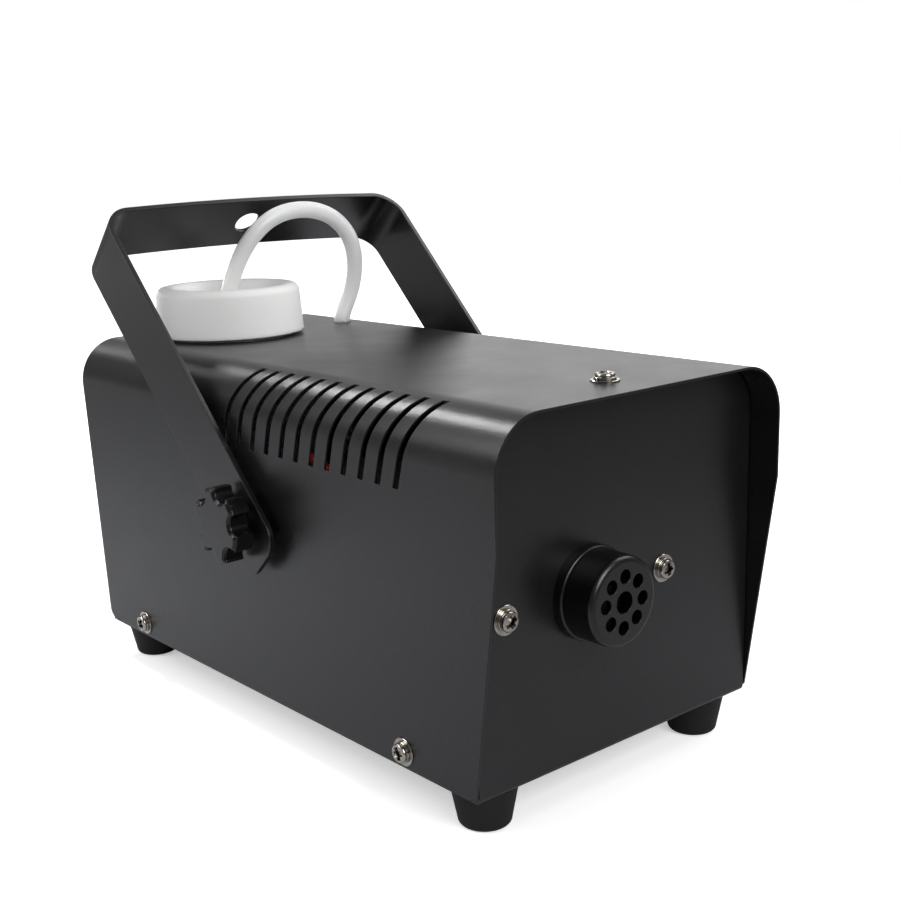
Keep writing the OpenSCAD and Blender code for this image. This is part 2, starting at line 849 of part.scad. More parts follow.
module heater_block() {
    ear_w = heater_screw_gap + 14;
    ear_h = 22;
    channel_r = 1.6;
    cross_r = 1.2;
    color("#a7aaad") at_block() difference() {
        union() {
            along_y(0, flange_t) rounded(ear_w, ear_h, 6);
            along_y(0, block_l) rounded(block_w, block_h, 5);
            translate([inlet_x, 0, inlet_z]) rod_y(inlet_r, block_l - 1, block_l + inlet_l);
        }
        for (x = [-1, 1]) translate([x * heater_screw_gap / 2, 0, -heater_screw_drop])
            rod_y(screw_d / 2 + screw_play, -1, flange_t + 1);
        for (x = [-1, 1]) translate([x * rod_gap, 0, rod_up])
            rod_y(rod_r + screw_play, block_l - rod_sink, block_l + 1);
        rod_y(channel_r, -1, 12);
        translate([inlet_x, 0, inlet_z]) rod_y(channel_r, 8, block_l + inlet_l + 1);
        translate([0, 10, 0]) rotate([0, 135, 0]) cylinder(r = cross_r, h = norm([inlet_x, inlet_z]));
    }
}

module heater_rods() {
    color("#8c8f92") at_block() for (x = [-1, 1]) translate([x * rod_gap, 0, rod_up]) {
        rod_y(rod_r, block_l - rod_sink, block_l + rod_out);
        box(-1.5, 1.5, block_l + rod_out - eps, block_l + rod_out + rod_tab, -0.4, 0.4);
    }
}

module heater_wrap() {
    color("#d8d2c0") at_block() along_y(wrap_front, block_l - wrap_back) difference() {
        rounded(block_w + 2 * wrap_t, block_h + 2 * wrap_t, 5 + wrap_t);
        rounded(block_w, block_h, 5);
    }
}

module heater_sleeve() {
    color("#b4b7ba") at_block() along_y(wrap_front, block_l - wrap_back) difference() {
        rounded(sleeve_w, sleeve_h, 5 + wrap_t + sleeve_t);
        rounded(block_w + 2 * wrap_t, block_h + 2 * wrap_t, 5 + wrap_t);
    }
}

module heater_stand() {
    stand_in = 24;
    stand_y = block_l - stand_in;
    stand_t = 1.5;
    stand_w = block_w - 18;
    stand_foot = 12;
    drop = nozzle_z - sleeve_h / 2 - floor_top;
    color("#b4b7ba") at_block() translate([0, stand_y, -sleeve_h / 2 - drop]) {
        box(-stand_w / 2, stand_w / 2, 0, stand_t, 0, drop);
        box(-stand_w / 2, stand_w / 2, 0, stand_foot, 0, stand_t);
        box(-stand_w / 2, stand_w / 2, 0, stand_foot, drop - stand_t, drop);
    }
}

module thermostat() {
    can_r = 7;
    can_l = 7;
    tab = 7;
    color("#37342f") at_block() translate([-11, block_l, -9]) {
        rod_y(can_r, 0, can_l);
        for (x = [-1, 1]) box(x * 4 - 1.6, x * 4 + 1.6, can_l - eps, can_l + tab, -0.4, 0.4);
    }
}

module thermal_fuse() {
    color("#c8a860") at_block() translate([0, block_l + 2.2, -0.5]) {
        rod_x(2.2, -6, 6);
        rod_x(0.6, -12, 12);
    }
}

// ---------- Tank ----------

module at_tank(z = 0) {
    translate([tank_x, tank_y, z]) children();
}

module fluid_tank() {
    corner = 8;
    color("#ece9e2") difference() {
        union() {
            at_tank(floor_top) linear_extrude(shoulder_z - floor_top) rounded(tank_w, tank_d, corner);
            at_tank(shoulder_z - 1) cylinder(r = neck_r, h = neck_top - shoulder_z + 1);
            at_tank(cap_z + 3) cylinder(r = thread_r, h = 1.6);
        }
        at_tank(floor_top + tank_wall)
            linear_extrude(shoulder_z - floor_top - 2 * tank_wall)
                rounded(tank_w - 2 * tank_wall, tank_d - 2 * tank_wall, corner - tank_wall);
        at_tank(shoulder_z - 2 * tank_wall)
            cylinder(r = neck_r - tank_wall, h = neck_top - shoulder_z + 2 * tank_wall + 1);
    }
}

module tank_cap() {
    color("#f1efea") at_tank() rotate_extrude($fn = 96) polygon(concat(
        [[hose_hole_r, dish_z], [hose_hole_r, dish_z - cap_disc],
         [thread_r + run_play, dish_z - cap_disc], [thread_r + run_play, cap_z],
         [cap_d / 2, cap_z]],
        arc_points([cap_top_r - cap_round, cap_top - cap_round], cap_round, 0, 90, 8),
        arc_points([cap_top_r - cap_rim - 0.6, cap_top - 0.8], 0.8, 90, 180, 3),
        [[cap_top_r - cap_rim - 2, dish_z]]));
}

module cap_seal() {
    color("#dcd8cc") at_tank(neck_top) difference() {
        cylinder(r = neck_r, h = seal_t);
        translate([0, 0, -eps]) cylinder(r = neck_r - 4, h = seal_t + 2 * eps);
    }
}

module suction_tube() {
    color("#e6e6e2") at_tank(floor_top + tank_wall + 4) cylinder(d = hose_d,
        h = dish_z - floor_top - tank_wall - 4);
}

module tank_filter() {
    color("#8f9296") at_tank(floor_top + tank_wall) difference() {
        cylinder(r = filter_r, h = filter_h);
        translate([0, 0, 4]) cylinder(r = hose_d / 2 + screw_play, h = filter_h);
    }
}

// ---------- Hoses ----------

module supply_hose() {
    color("#dfe0dc") swept_tube(hose_route, hose_d, 12);
}

module feed_hose() {
    turn = 14;
    cz = pump_z + turn;
    cy = hose_y - turn;
    color("#dfe0dc") swept_tube(concat(
        [[hose_x, hose_y, top_z], [hose_x, hose_y, (top_z + cz) / 2]],
        [for (a = [0 : 15 : 90]) [hose_x, cy + turn * cos(a), cz - turn * sin(a)]],
        [[hose_x, inlet_end - barb_cover, pump_z]]), hose_d, 12);
}

module delivery_tube() {
    end_x = nozzle_x + inlet_x;
    end_y = block_back + inlet_l;
    end_z = nozzle_z + inlet_z;
    color("#f2f2ee") swept_tube([
        [pump_x, outlet_end + barb_cover, pump_z],
        [pump_x, outlet_end - 3, pump_z],
        [pump_x - 1, outlet_end - 7, pump_z + 1],
        [pump_x - 4, outlet_end - 10, pump_z + 3],
        [pump_x - 9, outlet_end - 11, pump_z + 5],
        [pump_x - 14, outlet_end - 8, pump_z + 7],
        [pump_x - 17, outlet_end - 2, pump_z + 9],
        [pump_x - 20, outlet_end + 6, pump_z + 11],
        [end_x + 17, end_y + 12, end_z - 4],
        [end_x + 10, end_y + 16, end_z - 2],
        [end_x + 4, end_y + 14, end_z - 1],
        [end_x, end_y + 8, end_z],
        [end_x, end_y, end_z],
        [end_x, end_y - inlet_l + 1, end_z]], delivery_d, 8);
}

// ---------- Pump ----------

module at_pump() {
    translate([pump_x, pump_y, pump_z]) children();
}

module pump_tube() {
    bore = plunger_d / 2 + run_play;
    color("#d9d4c4") at_pump() difference() {
        union() {
            rod_y(tube_r, -pump_half, pump_half);
            rod_y(barb_r, -pump_half - barb_l, pump_half + barb_l);
            for (y = [-1, 1]) rod_y(tube_r + 2, y * (coil_l / 2 + frame_t + 5) - 4,
                y * (coil_l / 2 + frame_t + 5) + 3);
        }
        rod_y(bore, -pump_half + 2, (plunger_l + plunger_stroke) / 2);
        rod_y(1.4, -pump_half - barb_l - 1, pump_half + barb_l + 1);
    }
}

module pump_coil() {
    color("#1d1d20") at_pump() difference() {
        rod_y(coil_d / 2, -coil_l / 2, coil_l / 2);
        rod_y(tube_r + screw_play, -coil_l, coil_l);
    }
}

module pump_frame() {
    side = frame_w / 2;
    color("#b9bcc0") at_pump() difference() {
        box(-side, side, -coil_l / 2 - frame_t, coil_l / 2 + frame_t, -side, side);
        box(-side - 1, side + 1, -coil_l / 2, coil_l / 2, frame_t - side, side + 1);
        rod_y(tube_r + screw_play, -coil_l, coil_l);
    }
}

module pump_mount() {
    drop = pump_up - frame_w / 2;
    mount_w = frame_w;
    mount_l = coil_l + 2 * frame_t;
    color("#1f1f1f") at_pump()
        box(-mount_w / 2, mount_w / 2, -mount_l / 2, mount_l / 2, -pump_up, drop - pump_up);
}

module pump_plunger() {
    color("#9da1a5") at_pump() difference() {
        rod_y(plunger_d / 2, -plunger_l / 2, plunger_l / 2);
        rod_y(1.2, -plunger_l, plunger_l);
    }
}

// The return spring, drawn as its outer shape in front of the plunger
module pump_spring() {
    color("#c9ccd0") at_pump() difference() {
        rod_y(plunger_d / 2 - 0.2, -pump_half + 2, -plunger_l / 2);
        rod_y(plunger_d / 2 - 1.2, -pump_half, 0);
    }
}

// ---------- Electrics ----------

module at_board() {
    translate([board_x, board_y, board_z]) children();
}

pillar_x = board_w / 2 - 4;
pillar_y = board_l / 2 - 4;

module circuit_board() {
    color("#2f6b3a") at_board() difference() {
        box(-board_w / 2, board_w / 2, -board_l / 2, board_l / 2, 0, board_t);
        for (x = [-1, 1], y = [-1, 1]) translate([x * pillar_x, y * pillar_y, -1])
            cylinder(r = 1.7, h = board_t + 2);
    }
}

module board_pillars() {
    color("#e2e0d8") at_board() for (x = [-1, 1], y = [-1, 1])
        translate([x * pillar_x, y * pillar_y, 0]) {
            translate([0, 0, floor_top - board_z]) cylinder(r = 3, h = board_z - floor_top);
            cylinder(r = 1.6, h = board_t + 0.6);
            translate([0, 0, board_t]) cylinder(r = 2.6, h = 1.2);
        }
}

module board_parts() {
    relay_w = 16;
    relay_l = 19;
    relay_h = 15;
    relay_end = board_l / 2 - 3;
    terminal_l = 8;
    terminal_h = 10;
    terminal_end = board_l / 2 - 6;
    chip_w = 7;
    chip_l = 12;
    color("#2d5fa8") at_board() translate([0, 0, board_t]) {
        box(-relay_w / 2 - 1, relay_w / 2 - 1, relay_end - relay_l, relay_end, 0, relay_h);
        box(-terminal_w / 2, terminal_w / 2, -terminal_end, terminal_l - terminal_end, 0, terminal_h);
        translate([-8, -9, 0]) cylinder(r = 5, h = relay_h - 1);
        box(-2, chip_w - 2, -chip_l - 2, -2, 0, 3.5);
    }
}

module receiver_module() {
    color("#2b4f8c") at_board() translate([9, -2, board_t]) {
        box(0, 1.4, -10, 10, 0, 13);
        translate([3.6, -6, 2]) rod_y(1.8, 0, 14);
        box(1.4 - eps, 3, -5, 7, 2, 5);
    }
}

module at_rear(x, z) {
    translate([x, back_y, z]) children();
}

module power_switch() {
    color("#1b1b1d") at_rear(rear_x, switch_z) difference() {
        union() {
            along_y(0, bezel_t) rounded(switch_w + 2.2, switch_h + 2.2, 1.2);
            box(-switch_w / 2, switch_w / 2, -switch_depth, eps, -switch_h / 2, switch_h / 2);
            for (z = [-6, 0, 6]) box(-2.4, 2.4, -switch_depth - switch_tab, eps - switch_depth, z - 0.4, z + 0.4);
        }
        box(-rocker_w / 2 - run_play, rocker_w / 2 + run_play, -8, bezel_t + 1,
            -rocker_h / 2 - run_play, rocker_h / 2 + run_play);
    }
}

// The rocker is drawn tipped to its off side
module power_rocker() {
    color("#b3201c") at_rear(rear_x, switch_z) translate([0, -2, 0]) rotate([rocker_turn, 0, 0])
        intersection() {
            box(-rocker_w / 2, rocker_w / 2, -3, 8, -rocker_h / 2 + 0.5, rocker_h / 2 - 0.5);
            difference() {
                rod_x(rocker_h / 2 - 0.5, -rocker_w, rocker_w);
                translate([0, rocker_h * 1.75, 0]) rod_x(rocker_h * 1.5, -rocker_w, rocker_w);
            }
        }
}

module fuse_holder() {
    color("#1b1b1d") at_rear(rear_x, fuse_z) difference() {
        union() {
            rod_y(fuse_r + 1.6, 0, 2);
            rod_y(fuse_r, -fuse_body, eps);
            box(-1.5, 1.5, -fuse_body - fuse_tab, eps - fuse_body, -0.4, 0.4);
        }
        rod_y(fuse_r - 1.2, -24, 3);
    }
}

module fuse_cap() {
    cap_in = fuse_r - 1.2 - run_play;
    color("#202022") at_rear(rear_x, fuse_z) difference() {
        union() {
            rod_y(cap_in, -5, 2 + run_play);
            rod_y(fuse_r, 2 + run_play, 8);
        }
        box(-fuse_r - 1, fuse_r + 1, 6.8, 9, -0.8, 0.8);
    }
}

module glass_fuse() {
    color("#c8d2d6") at_rear(rear_x, fuse_z) rod_y(2.6, -24, -5 - run_play);
}

module remote_socket() {
    pin_ring = 3.9;
    color("#1b1b1d") at_rear(rear_x, socket_z) difference() {
        union() {
            rod_y(socket_r + 2, 0, 1.6);
            rod_y(socket_r, -11, eps);
            for (a = [0 : 45 : 180]) rotate([0, -a, 0]) translate([pin_ring, 0, 0])
                rod_y(0.7, -15, eps - 11);
        }
        difference() {
            rod_y(socket_r - 1.2, -6, 3);
            rod_y(socket_r - 2.2, -7, 1);
        }
        for (a = [0 : 45 : 180]) rotate([0, -a, 0]) translate([pin_ring, 0, 0]) rod_y(0.8, -7, 2);
    }
}

module mains_gland() {
    nut_l = 4;
    color("#1b1b1d") at_rear(rear_x, gland_z) difference() {
        union() {
            rotate([-90, 0, 0]) cylinder(r = 9, h = nut_l, $fn = 6);
            rod_y(7.4, nut_l - eps, gland_l - 2);
            rod_y(6.4, gland_l - 2 - eps, gland_l);
            rod_y(gland_r - screw_play, -gland_in, eps);
        }
        rod_y(gland_bore_d / 2, -10, gland_l + 1);
    }
}

module gland_nut() {
    color("#1b1b1d") at_rear(rear_x, gland_z) difference() {
        translate([0, -chassis_t - 4, 0]) rotate([-90, 0, 0]) cylinder(r = 9, h = 4, $fn = 6);
        rod_y(gland_r, -10, 0);
    }
}

module ready_light() {
    color("#c23a2a") at_rear(light_x, switch_z) {
        rod_y(light_r - screw_play, -6, eps);
        rod_y(light_r + 0.9, 0, 1);
        intersection() {
            rod_y(light_r + 0.9, 0.5, 5);
            translate([0, 0.6, 0]) sphere(light_r);
        }
    }
}

// Two wires, one from each heating rod, that share a way round the left of the heater
// to the board
module heater_wires() {
    wire_d = 2.2;
    apart = [3.4, -3.4, 0];
    side_x = wire_d / 2 + 2.1 - inner_w / 2;
    tab_end = block_back + rod_out + rod_tab + 0.05;
    rod_z = nozzle_z + rod_up;
    side_run = 80;
    down_y = block_back - side_run;
    low_z = floor_top + 3;
    board_end = board_x - terminal_w / 2 - wire_d / 2 - apart[0] - 0.1;
    function shared(rise) = [
        [nozzle_x - 28, tab_end, nozzle_z + 14],
        [side_x + 6, tab_end - 10, nozzle_z + 16],
        [side_x + 3, block_back - 8, nozzle_z + 21],
        [side_x + 1, block_back - 22, nozzle_z + 28 + rise / 4],
        [side_x, block_back - 30, nozzle_z + 30 + rise],
        [side_x, block_back - 38, nozzle_z + 28 + rise / 4],
        [side_x + 1, block_back - 50, nozzle_z + 22],
        [side_x + 1, block_back - 68, nozzle_z + 16],
        [side_x, block_back - 76, nozzle_z + 3],
        [side_x, down_y, nozzle_z - 16],
        [side_x, down_y, low_z + 13],
        [side_x + 4, down_y, low_z + 4],
        [side_x + 14, down_y, low_z],
        [nozzle_x, down_y, low_z],
        [board_end - 17, down_y, low_z + 2],
        [board_end - 6, down_y, board_z + 4],
        [board_end, down_y, board_z + 7]];
    color("#b8211d") swept_tube(concat([
        [nozzle_x - rod_gap, tab_end, rod_z],
        [nozzle_x - rod_gap, tab_end + 2.5, rod_z],
        [nozzle_x - rod_gap - 2, tab_end + 5.5, rod_z + 2],
        [nozzle_x - rod_gap - 7, tab_end + 5, rod_z + 5]], shared(7.4)), wire_d, 6);
    color("#b8211d") swept_tube(concat([
        [nozzle_x + rod_gap, tab_end, rod_z],
        [nozzle_x + rod_gap, tab_end + 2.5, rod_z],
        [nozzle_x + rod_gap - 1, tab_end + 5.5, rod_z + 4],
        [nozzle_x + rod_gap - 8, tab_end + 4, rod_z + 9]],
        [for (q = shared(4)) q + apart]), wire_d, 6);
}

// The leads from the gland to the fuse holder and to the switch
module mains_wires() {
    wire_d = 2.4;
    aside = 1.5;
    start_y = back_y - gland_in - 1;
    fuse_y = back_y - fuse_body - fuse_tab / 2 - 0.3;
    switch_y = back_y - switch_depth - switch_tab - 0.05;
    color("#1f1f1f") swept_tube([
        [rear_x + aside, start_y, gland_z],
        [rear_x + aside, start_y - 4, gland_z],
        [rear_x + 6, start_y - 9, gland_z + 4],
        [rear_x + 13, start_y - 13, gland_z + 14],
        [rear_x + 14, start_y - 15, fuse_z - 14],
        [rear_x + 11, fuse_y, fuse_z - 4],
        [rear_x + 6, fuse_y, fuse_z],
        [rear_x + 1.6, fuse_y, fuse_z]], wire_d, 6);
    color("#6b4a2a") swept_tube([
        [rear_x - aside, start_y, gland_z],
        [rear_x - aside, start_y - 4, gland_z],
        [rear_x - 5, start_y - 8, gland_z + 5],
        [rear_x - 12, start_y - 12, gland_z + 20],
        [rear_x - 14, start_y - 12, switch_z - 22],
        [rear_x - 9, switch_y - 3, switch_z - 10],
        [rear_x - 3, switch_y - 3.4, switch_z - 6.6],
        [rear_x, switch_y - 2, switch_z - 6],
        [rear_x, switch_y, switch_z - 6]], wire_d, 6);
}

top_cover();
chassis();
rear_panel();
panel_rivets();
rubber_feet();
foot_screws();
foot_nuts();
handle_bracket();
handle_spacers();
pivot_nuts();
knob_left();
knob_right();
stud_left();
stud_right();
cover_screws();
cover_washers();
clinch_nuts();
heater_screws();
heater_washers();
heater_standoffs();
nozzle_cap();
nozzle_collar();
nozzle_jet();
heater_block();
heater_rods();
heater_wrap();
heater_sleeve();
heater_stand();
thermostat();
thermal_fuse();
fluid_tank();
tank_cap();
cap_seal();
suction_tube();
tank_filter();
supply_hose();
feed_hose();
delivery_tube();
pump_tube();
pump_coil();
pump_frame();
pump_mount();
pump_plunger();
pump_spring();
circuit_board();
board_pillars();
board_parts();
receiver_module();
power_switch();
power_rocker();
fuse_holder();
fuse_cap();
glass_fuse();
remote_socket();
mains_gland();
gland_nut();
ready_light();
heater_wires();
mains_wires();
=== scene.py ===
"""Fog machine: the looks of a small black steel fog machine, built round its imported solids.

Every piece or group of like pieces is an operator of the Fog machine panel. Sizes are in
metres, and MM turns millimetres into them.
"""

import json
import math

import bmesh
import bpy
from mathutils import Matrix, Vector

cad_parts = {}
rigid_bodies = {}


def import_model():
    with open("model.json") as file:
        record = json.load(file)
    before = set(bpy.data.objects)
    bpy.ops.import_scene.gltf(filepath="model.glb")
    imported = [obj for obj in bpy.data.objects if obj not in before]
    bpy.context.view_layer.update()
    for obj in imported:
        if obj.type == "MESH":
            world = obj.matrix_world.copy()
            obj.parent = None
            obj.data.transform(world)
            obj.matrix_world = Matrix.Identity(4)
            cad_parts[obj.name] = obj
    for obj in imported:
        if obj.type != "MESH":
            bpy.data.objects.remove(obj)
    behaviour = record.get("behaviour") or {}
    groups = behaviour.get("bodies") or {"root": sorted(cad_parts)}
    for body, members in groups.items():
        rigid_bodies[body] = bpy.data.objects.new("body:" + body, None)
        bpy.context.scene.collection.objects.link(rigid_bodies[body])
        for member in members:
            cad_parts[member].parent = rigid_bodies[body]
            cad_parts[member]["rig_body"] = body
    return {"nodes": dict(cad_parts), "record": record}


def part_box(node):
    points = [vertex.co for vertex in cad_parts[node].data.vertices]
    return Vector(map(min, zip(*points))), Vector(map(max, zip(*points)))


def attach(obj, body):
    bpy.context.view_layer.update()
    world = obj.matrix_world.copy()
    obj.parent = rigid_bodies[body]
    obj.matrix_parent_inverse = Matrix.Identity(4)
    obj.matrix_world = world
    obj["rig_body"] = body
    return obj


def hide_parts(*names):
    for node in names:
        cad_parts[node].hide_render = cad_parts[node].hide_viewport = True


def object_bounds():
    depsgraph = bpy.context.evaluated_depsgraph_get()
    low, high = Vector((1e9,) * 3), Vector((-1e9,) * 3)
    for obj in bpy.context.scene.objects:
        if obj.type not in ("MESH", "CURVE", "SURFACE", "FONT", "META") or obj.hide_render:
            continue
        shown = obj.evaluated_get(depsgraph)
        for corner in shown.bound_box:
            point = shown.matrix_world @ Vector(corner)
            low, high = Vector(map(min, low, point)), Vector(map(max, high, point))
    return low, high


bl_info = {
    "name": "Fog machine",
    "version": (1, 0, 0),
    "blender": (4, 5, 0),
    "location": "3D View > Sidebar > Fog machine",
    "description": "Builds the looks of a small fog machine round its solids",
    "category": "Object",
}

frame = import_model()
cad_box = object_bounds()

MM = 0.001
CASE = "housing"

# Corners of a solid's loose triangles that are nearer than this are one corner
WELD = 0.000004
# Faces of a solid that meet at less than this are one flat face, in degrees
FLAT_BEND = 0.6
# Edges of a solid that bend by more than this are rounded, in degrees
SHARP_BEND = 32
# Radius of the hole through the washers and lock rings
WASHER_BORE = 2.2 * MM

# Points of the supply hose, in millimetres, from the cap's dish over to the hole in the case
HOSE_ROUTE = [
    (-12, 87.4, 142.9), (-12, 87.4, 145.4), (-11.6, 85.4, 150), (-10.6, 82.8, 156),
    (-8.6, 80.3, 162), (-5, 78, 168), (0, 76.2, 173), (6, 74.9, 176.2), (12.5, 74, 177.6),
    (19, 73.3, 177.6), (25, 73, 176.4), (30.5, 72.9, 174), (35.5, 73.2, 170.2),
    (39.5, 74, 165.4), (42.2, 75.2, 159.8), (43.6, 76.8, 153.6), (43.6, 78.4, 147),
    (42.4, 79.8, 141), (40.2, 80.9, 135.4), (38.7, 81.1, 131.5), (38.7, 81.1, 130)]


# ---------- What a user may change ----------

def length(name, description, default):
    """A length that a user may change."""
    return bpy.props.FloatProperty(name=name, description=description, default=default,
                                   min=0.0, precision=5, subtype="DISTANCE", unit="LENGTH")


def colour(name, description, default):
    """A colour that a user may change."""
    return bpy.props.FloatVectorProperty(name=name, description=description, default=default,
                                         size=3, min=0.0, max=1.0, subtype="COLOR")


def amount(name, description, default, most=1.0):
    """A share or strength that a user may change."""
    return bpy.props.FloatProperty(name=name, description=description, default=default,
                                   min=0.0, max=most)


class FogMachineSizes(bpy.types.PropertyGroup):
    """Sizes that the finished pieces add to the solids"""
    sheet_edge: length("Sheet edge", "Rounding of the cut edges of the case", 0.00016)
    strap_edge: length("Strap edge", "Rounding of the handle's edges", 0.0003)
    knob_edge: length("Knob edge", "Rounding of the knobs' edges", 0.00045)
    nozzle_edge: length("Nozzle edge", "Rounding round the nozzle's holes", 0.0002)
    moulded_edge: length("Moulded edge", "Rounding of the small moulded parts", 0.0003)
    foot_edge: length("Foot edge", "Rounding of the rubber feet", 0.00025)
    hose_diameter: length("Hose diameter", "Outside diameter of the supply hose", 0.0065)
    washer_thickness: length("Washer thickness", "Thickness of a flat washer", 0.00045)
    lock_ring: length("Lock ring", "Outside diameter of a split lock ring", 0.007)
    recess_depth: length("Recess depth", "Depth of the cross in a screw head", 0.0015)


class FogMachineColours(bpy.types.PropertyGroup):
    """Colours of the finishes that are seen from outside"""
    case_paint: colour("Case paint", "Textured powder coat of the case", (0.0065, 0.0065, 0.0068))
    handle_paint: colour("Handle paint", "Satin paint of the handle", (0.006, 0.006, 0.0063))
    knob_plastic: colour("Knobs", "Moulding of the knobs", (0.004, 0.004, 0.0043))
    nozzle_black: colour("Nozzle", "Heat-proof black of the nozzle", (0.0015, 0.0015, 0.0015))
    black_rubber: colour("Feet", "Rubber of the feet", (0.008, 0.008, 0.0085))
    dark_nickel: colour("Screws", "Plating of the screws and washers", (0.45, 0.42, 0.38))
    white_polythene: colour("Cap", "Polyethylene of the cap and the tank", (0.93, 0.92, 0.91))
    clear_hose: colour("Hose", "Milky silicone of the hose", (0.86, 0.855, 0.845))
    red_wire: colour("Heater wires", "Insulation of the heater's wires", (0.55, 0.02, 0.02))
    floor: colour("Floor", "Studio floor", (0.93, 0.93, 0.93))


class FogMachineStudio(bpy.types.PropertyGroup):
    """Camera and lights"""
    lens: bpy.props.FloatProperty(name="Lens", description="Focal length in millimetres",
                                  default=53.04, min=10, subtype="DISTANCE_CAMERA")
    stand: bpy.props.FloatVectorProperty(
        name="Camera", description="Where the camera stands", size=3, subtype="XYZ",
        unit="LENGTH", default=(-0.29085, -0.3777, 0.1979))
    yaw: bpy.props.FloatProperty(name="Turn", description="Camera's turn to the right",
                                 default=math.radians(39.61), subtype="ANGLE", unit="ROTATION")
    pitch: bpy.props.FloatProperty(name="Dip", description="Camera's dip below the level",
                                   default=math.radians(15.09), subtype="ANGLE",
                                   unit="ROTATION")
    roll: bpy.props.FloatProperty(name="Tilt", description="Camera's tilt",
                                  default=math.radians(-2.07), subtype="ANGLE",
                                  unit="ROTATION")
    shift: bpy.props.FloatVectorProperty(name="Shift", description="Framing of the camera",
                                         size=2, default=(0.011, 0.0668))
    sky: amount("Surround", "Light that the white surround gives", 0.2, 4.0)
    power: amount("Power", "Share of the lamps' full power", 1.0, 4.0)
    bounce: amount("Bounce", "Share of light that the floor near the machine throws back", 0.8)
    bounce_far: amount("Far bounce", "Share of light that the floor farther off throws back", 0.35)
    bounce_front: amount("Front bounce", "Share of the bounce that is left in front", 0.5)
    horizon: amount("Horizon", "Light of the far floor behind", 0.9, 4.0)
    glow: amount("Floor glow", "How far the floor is burnt out to white", 0.45, 4.0)


# ---------- Meshes ----------

def filled_mesh(bm, name):
    """A mesh of the bmesh, which is then freed."""
    mesh = bpy.data.meshes.new(name)
    bm.to_mesh(mesh)
    bm.free()
    return mesh


def finished_piece(bm, name, node):
    """Makes an object of a bmesh that stands for a node, on its body and in its finish."""
    mesh = filled_mesh(bm, name)
    for face in mesh.polygons:
        face.use_smooth = True
    piece = bpy.data.objects.new(name, mesh)
    bpy.context.scene.collection.objects.link(piece)
    slot = slot_of(node)
    mesh.materials.append(finish_of(slot))
    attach(piece, frame["nodes"][node]["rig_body"])
    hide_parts(node)
    return piece


def welded(node):
    """A solid's loose triangles as one closed bmesh."""
    bm = bmesh.new()
    bm.from_mesh(frame["nodes"][node].data)
    bmesh.ops.remove_doubles(bm, verts=bm.verts, dist=WELD)
    return bm


def round_edges(piece, width, segments):
    """Rounds the sharp edges and keeps the flat faces flat in the light."""
    bevel = piece.modifiers.new("Rounded edges", "BEVEL")
    bevel.width = width
    bevel.segments = segments
    bevel.limit_method = "ANGLE"
    bevel.angle_limit = math.radians(SHARP_BEND)
    bevel.use_clamp_overlap = False
    bevel.miter_outer = "MITER_ARC"
    flat = piece.modifiers.new("Flat faces", "WEIGHTED_NORMAL")
    flat.weight = 80
    flat.keep_sharp = True


def softened(node, name, width, segments=2):
    """A solid's finished double: the same shape with its edges rounded."""
    bm = welded(node)
    bmesh.ops.dissolve_limit(bm, angle_limit=math.radians(FLAT_BEND), verts=bm.verts,
                             edges=bm.edges, use_dissolve_boundaries=False)
    round_edges(finished_piece(bm, name, node), width, segments)


def islands(node):
    """Lowest and highest corners of each separate solid of a node, from left to right."""
    bm = welded(node)
    left = set(bm.verts)
    boxes = []
    while left:
        found = [left.pop()]
        for vert in found:
            for edge in vert.link_edges:
                other = edge.other_vert(vert)
                if other in left:
                    left.remove(other)
                    found.append(other)
        low = Vector(min(v.co[i] for v in found) for i in range(3))
        high = Vector(max(v.co[i] for v in found) for i in range(3))
        boxes.append((low, high))
    bm.free()
    return sorted(boxes, key=lambda box: (round(box[0].x, 4), round(box[0].y, 4)))


def turned(profile, steps):
    """A bmesh of a closed profile of (radius, height) pairs turned round the Z axis."""
    bm = bmesh.new()
    verts = [bm.verts.new((radius, 0, height)) for radius, height in profile]
    edges = [bm.edges.new(pair) for pair in zip(verts, verts[1:] + verts[:1])]
    bmesh.ops.spin(bm, geom=verts + edges, cent=(0, 0, 0), axis=(0, 0, 1), dvec=(0, 0, 0),
                   angle=math.tau, steps=steps, use_merge=True, use_duplicate=False)
    bmesh.ops.remove_doubles(bm, verts=bm.verts, dist=WELD / 2)
    bmesh.ops.recalc_face_normals(bm, faces=bm.faces)
    return bm


def arc(centre, radius, start, stop, steps):
    """Points of an arc round a centre, between two angles in degrees."""
    points = []
    for i in range(steps + 1):
        angle = math.radians(start + (stop - start) * i / steps)
        points.append((centre[0] + radius * math.cos(angle),
                       centre[1] + radius * math.sin(angle)))
    return points


def cut(mesh, cutter):
    """The mesh less the cutter, as a new mesh."""
    body = bpy.data.objects.new("body", mesh)
    tool = bpy.data.objects.new("tool", cutter)
    for made in (body, tool):
        bpy.context.scene.collection.objects.link(made)
    boolean = body.modifiers.new("Cut", "BOOLEAN")
    boolean.object = tool
    boolean.operation = "DIFFERENCE"
    boolean.solver = "EXACT"
    boolean.use_self = True
    bpy.context.view_layer.update()
    result = bpy.data.meshes.new_from_object(
        body.evaluated_get(bpy.context.evaluated_depsgraph_get()))
    for made in (body, tool):
        bpy.data.objects.remove(made)
    return result


def smooth_route(points, steps=6):
    """A smooth line in metres through points in millimetres."""
    line = [Vector(point) for point in points]
    line = [2 * line[0] - line[1], *line, 2 * line[-1] - line[-2]]
    route = []
    for a, b, c, d in zip(line, line[1:], line[2:], line[3:]):
        for i in range(steps):
            t = i / steps
            route.append(0.5 * ((2 * b) + (c - a) * t + (2 * a - 5 * b + 4 * c - d) * t * t
                                + (3 * b - a - 3 * c + d) * t ** 3) * MM)
    route.append(line[-2] * MM)
    return route


# ---------- Shared effects ----------

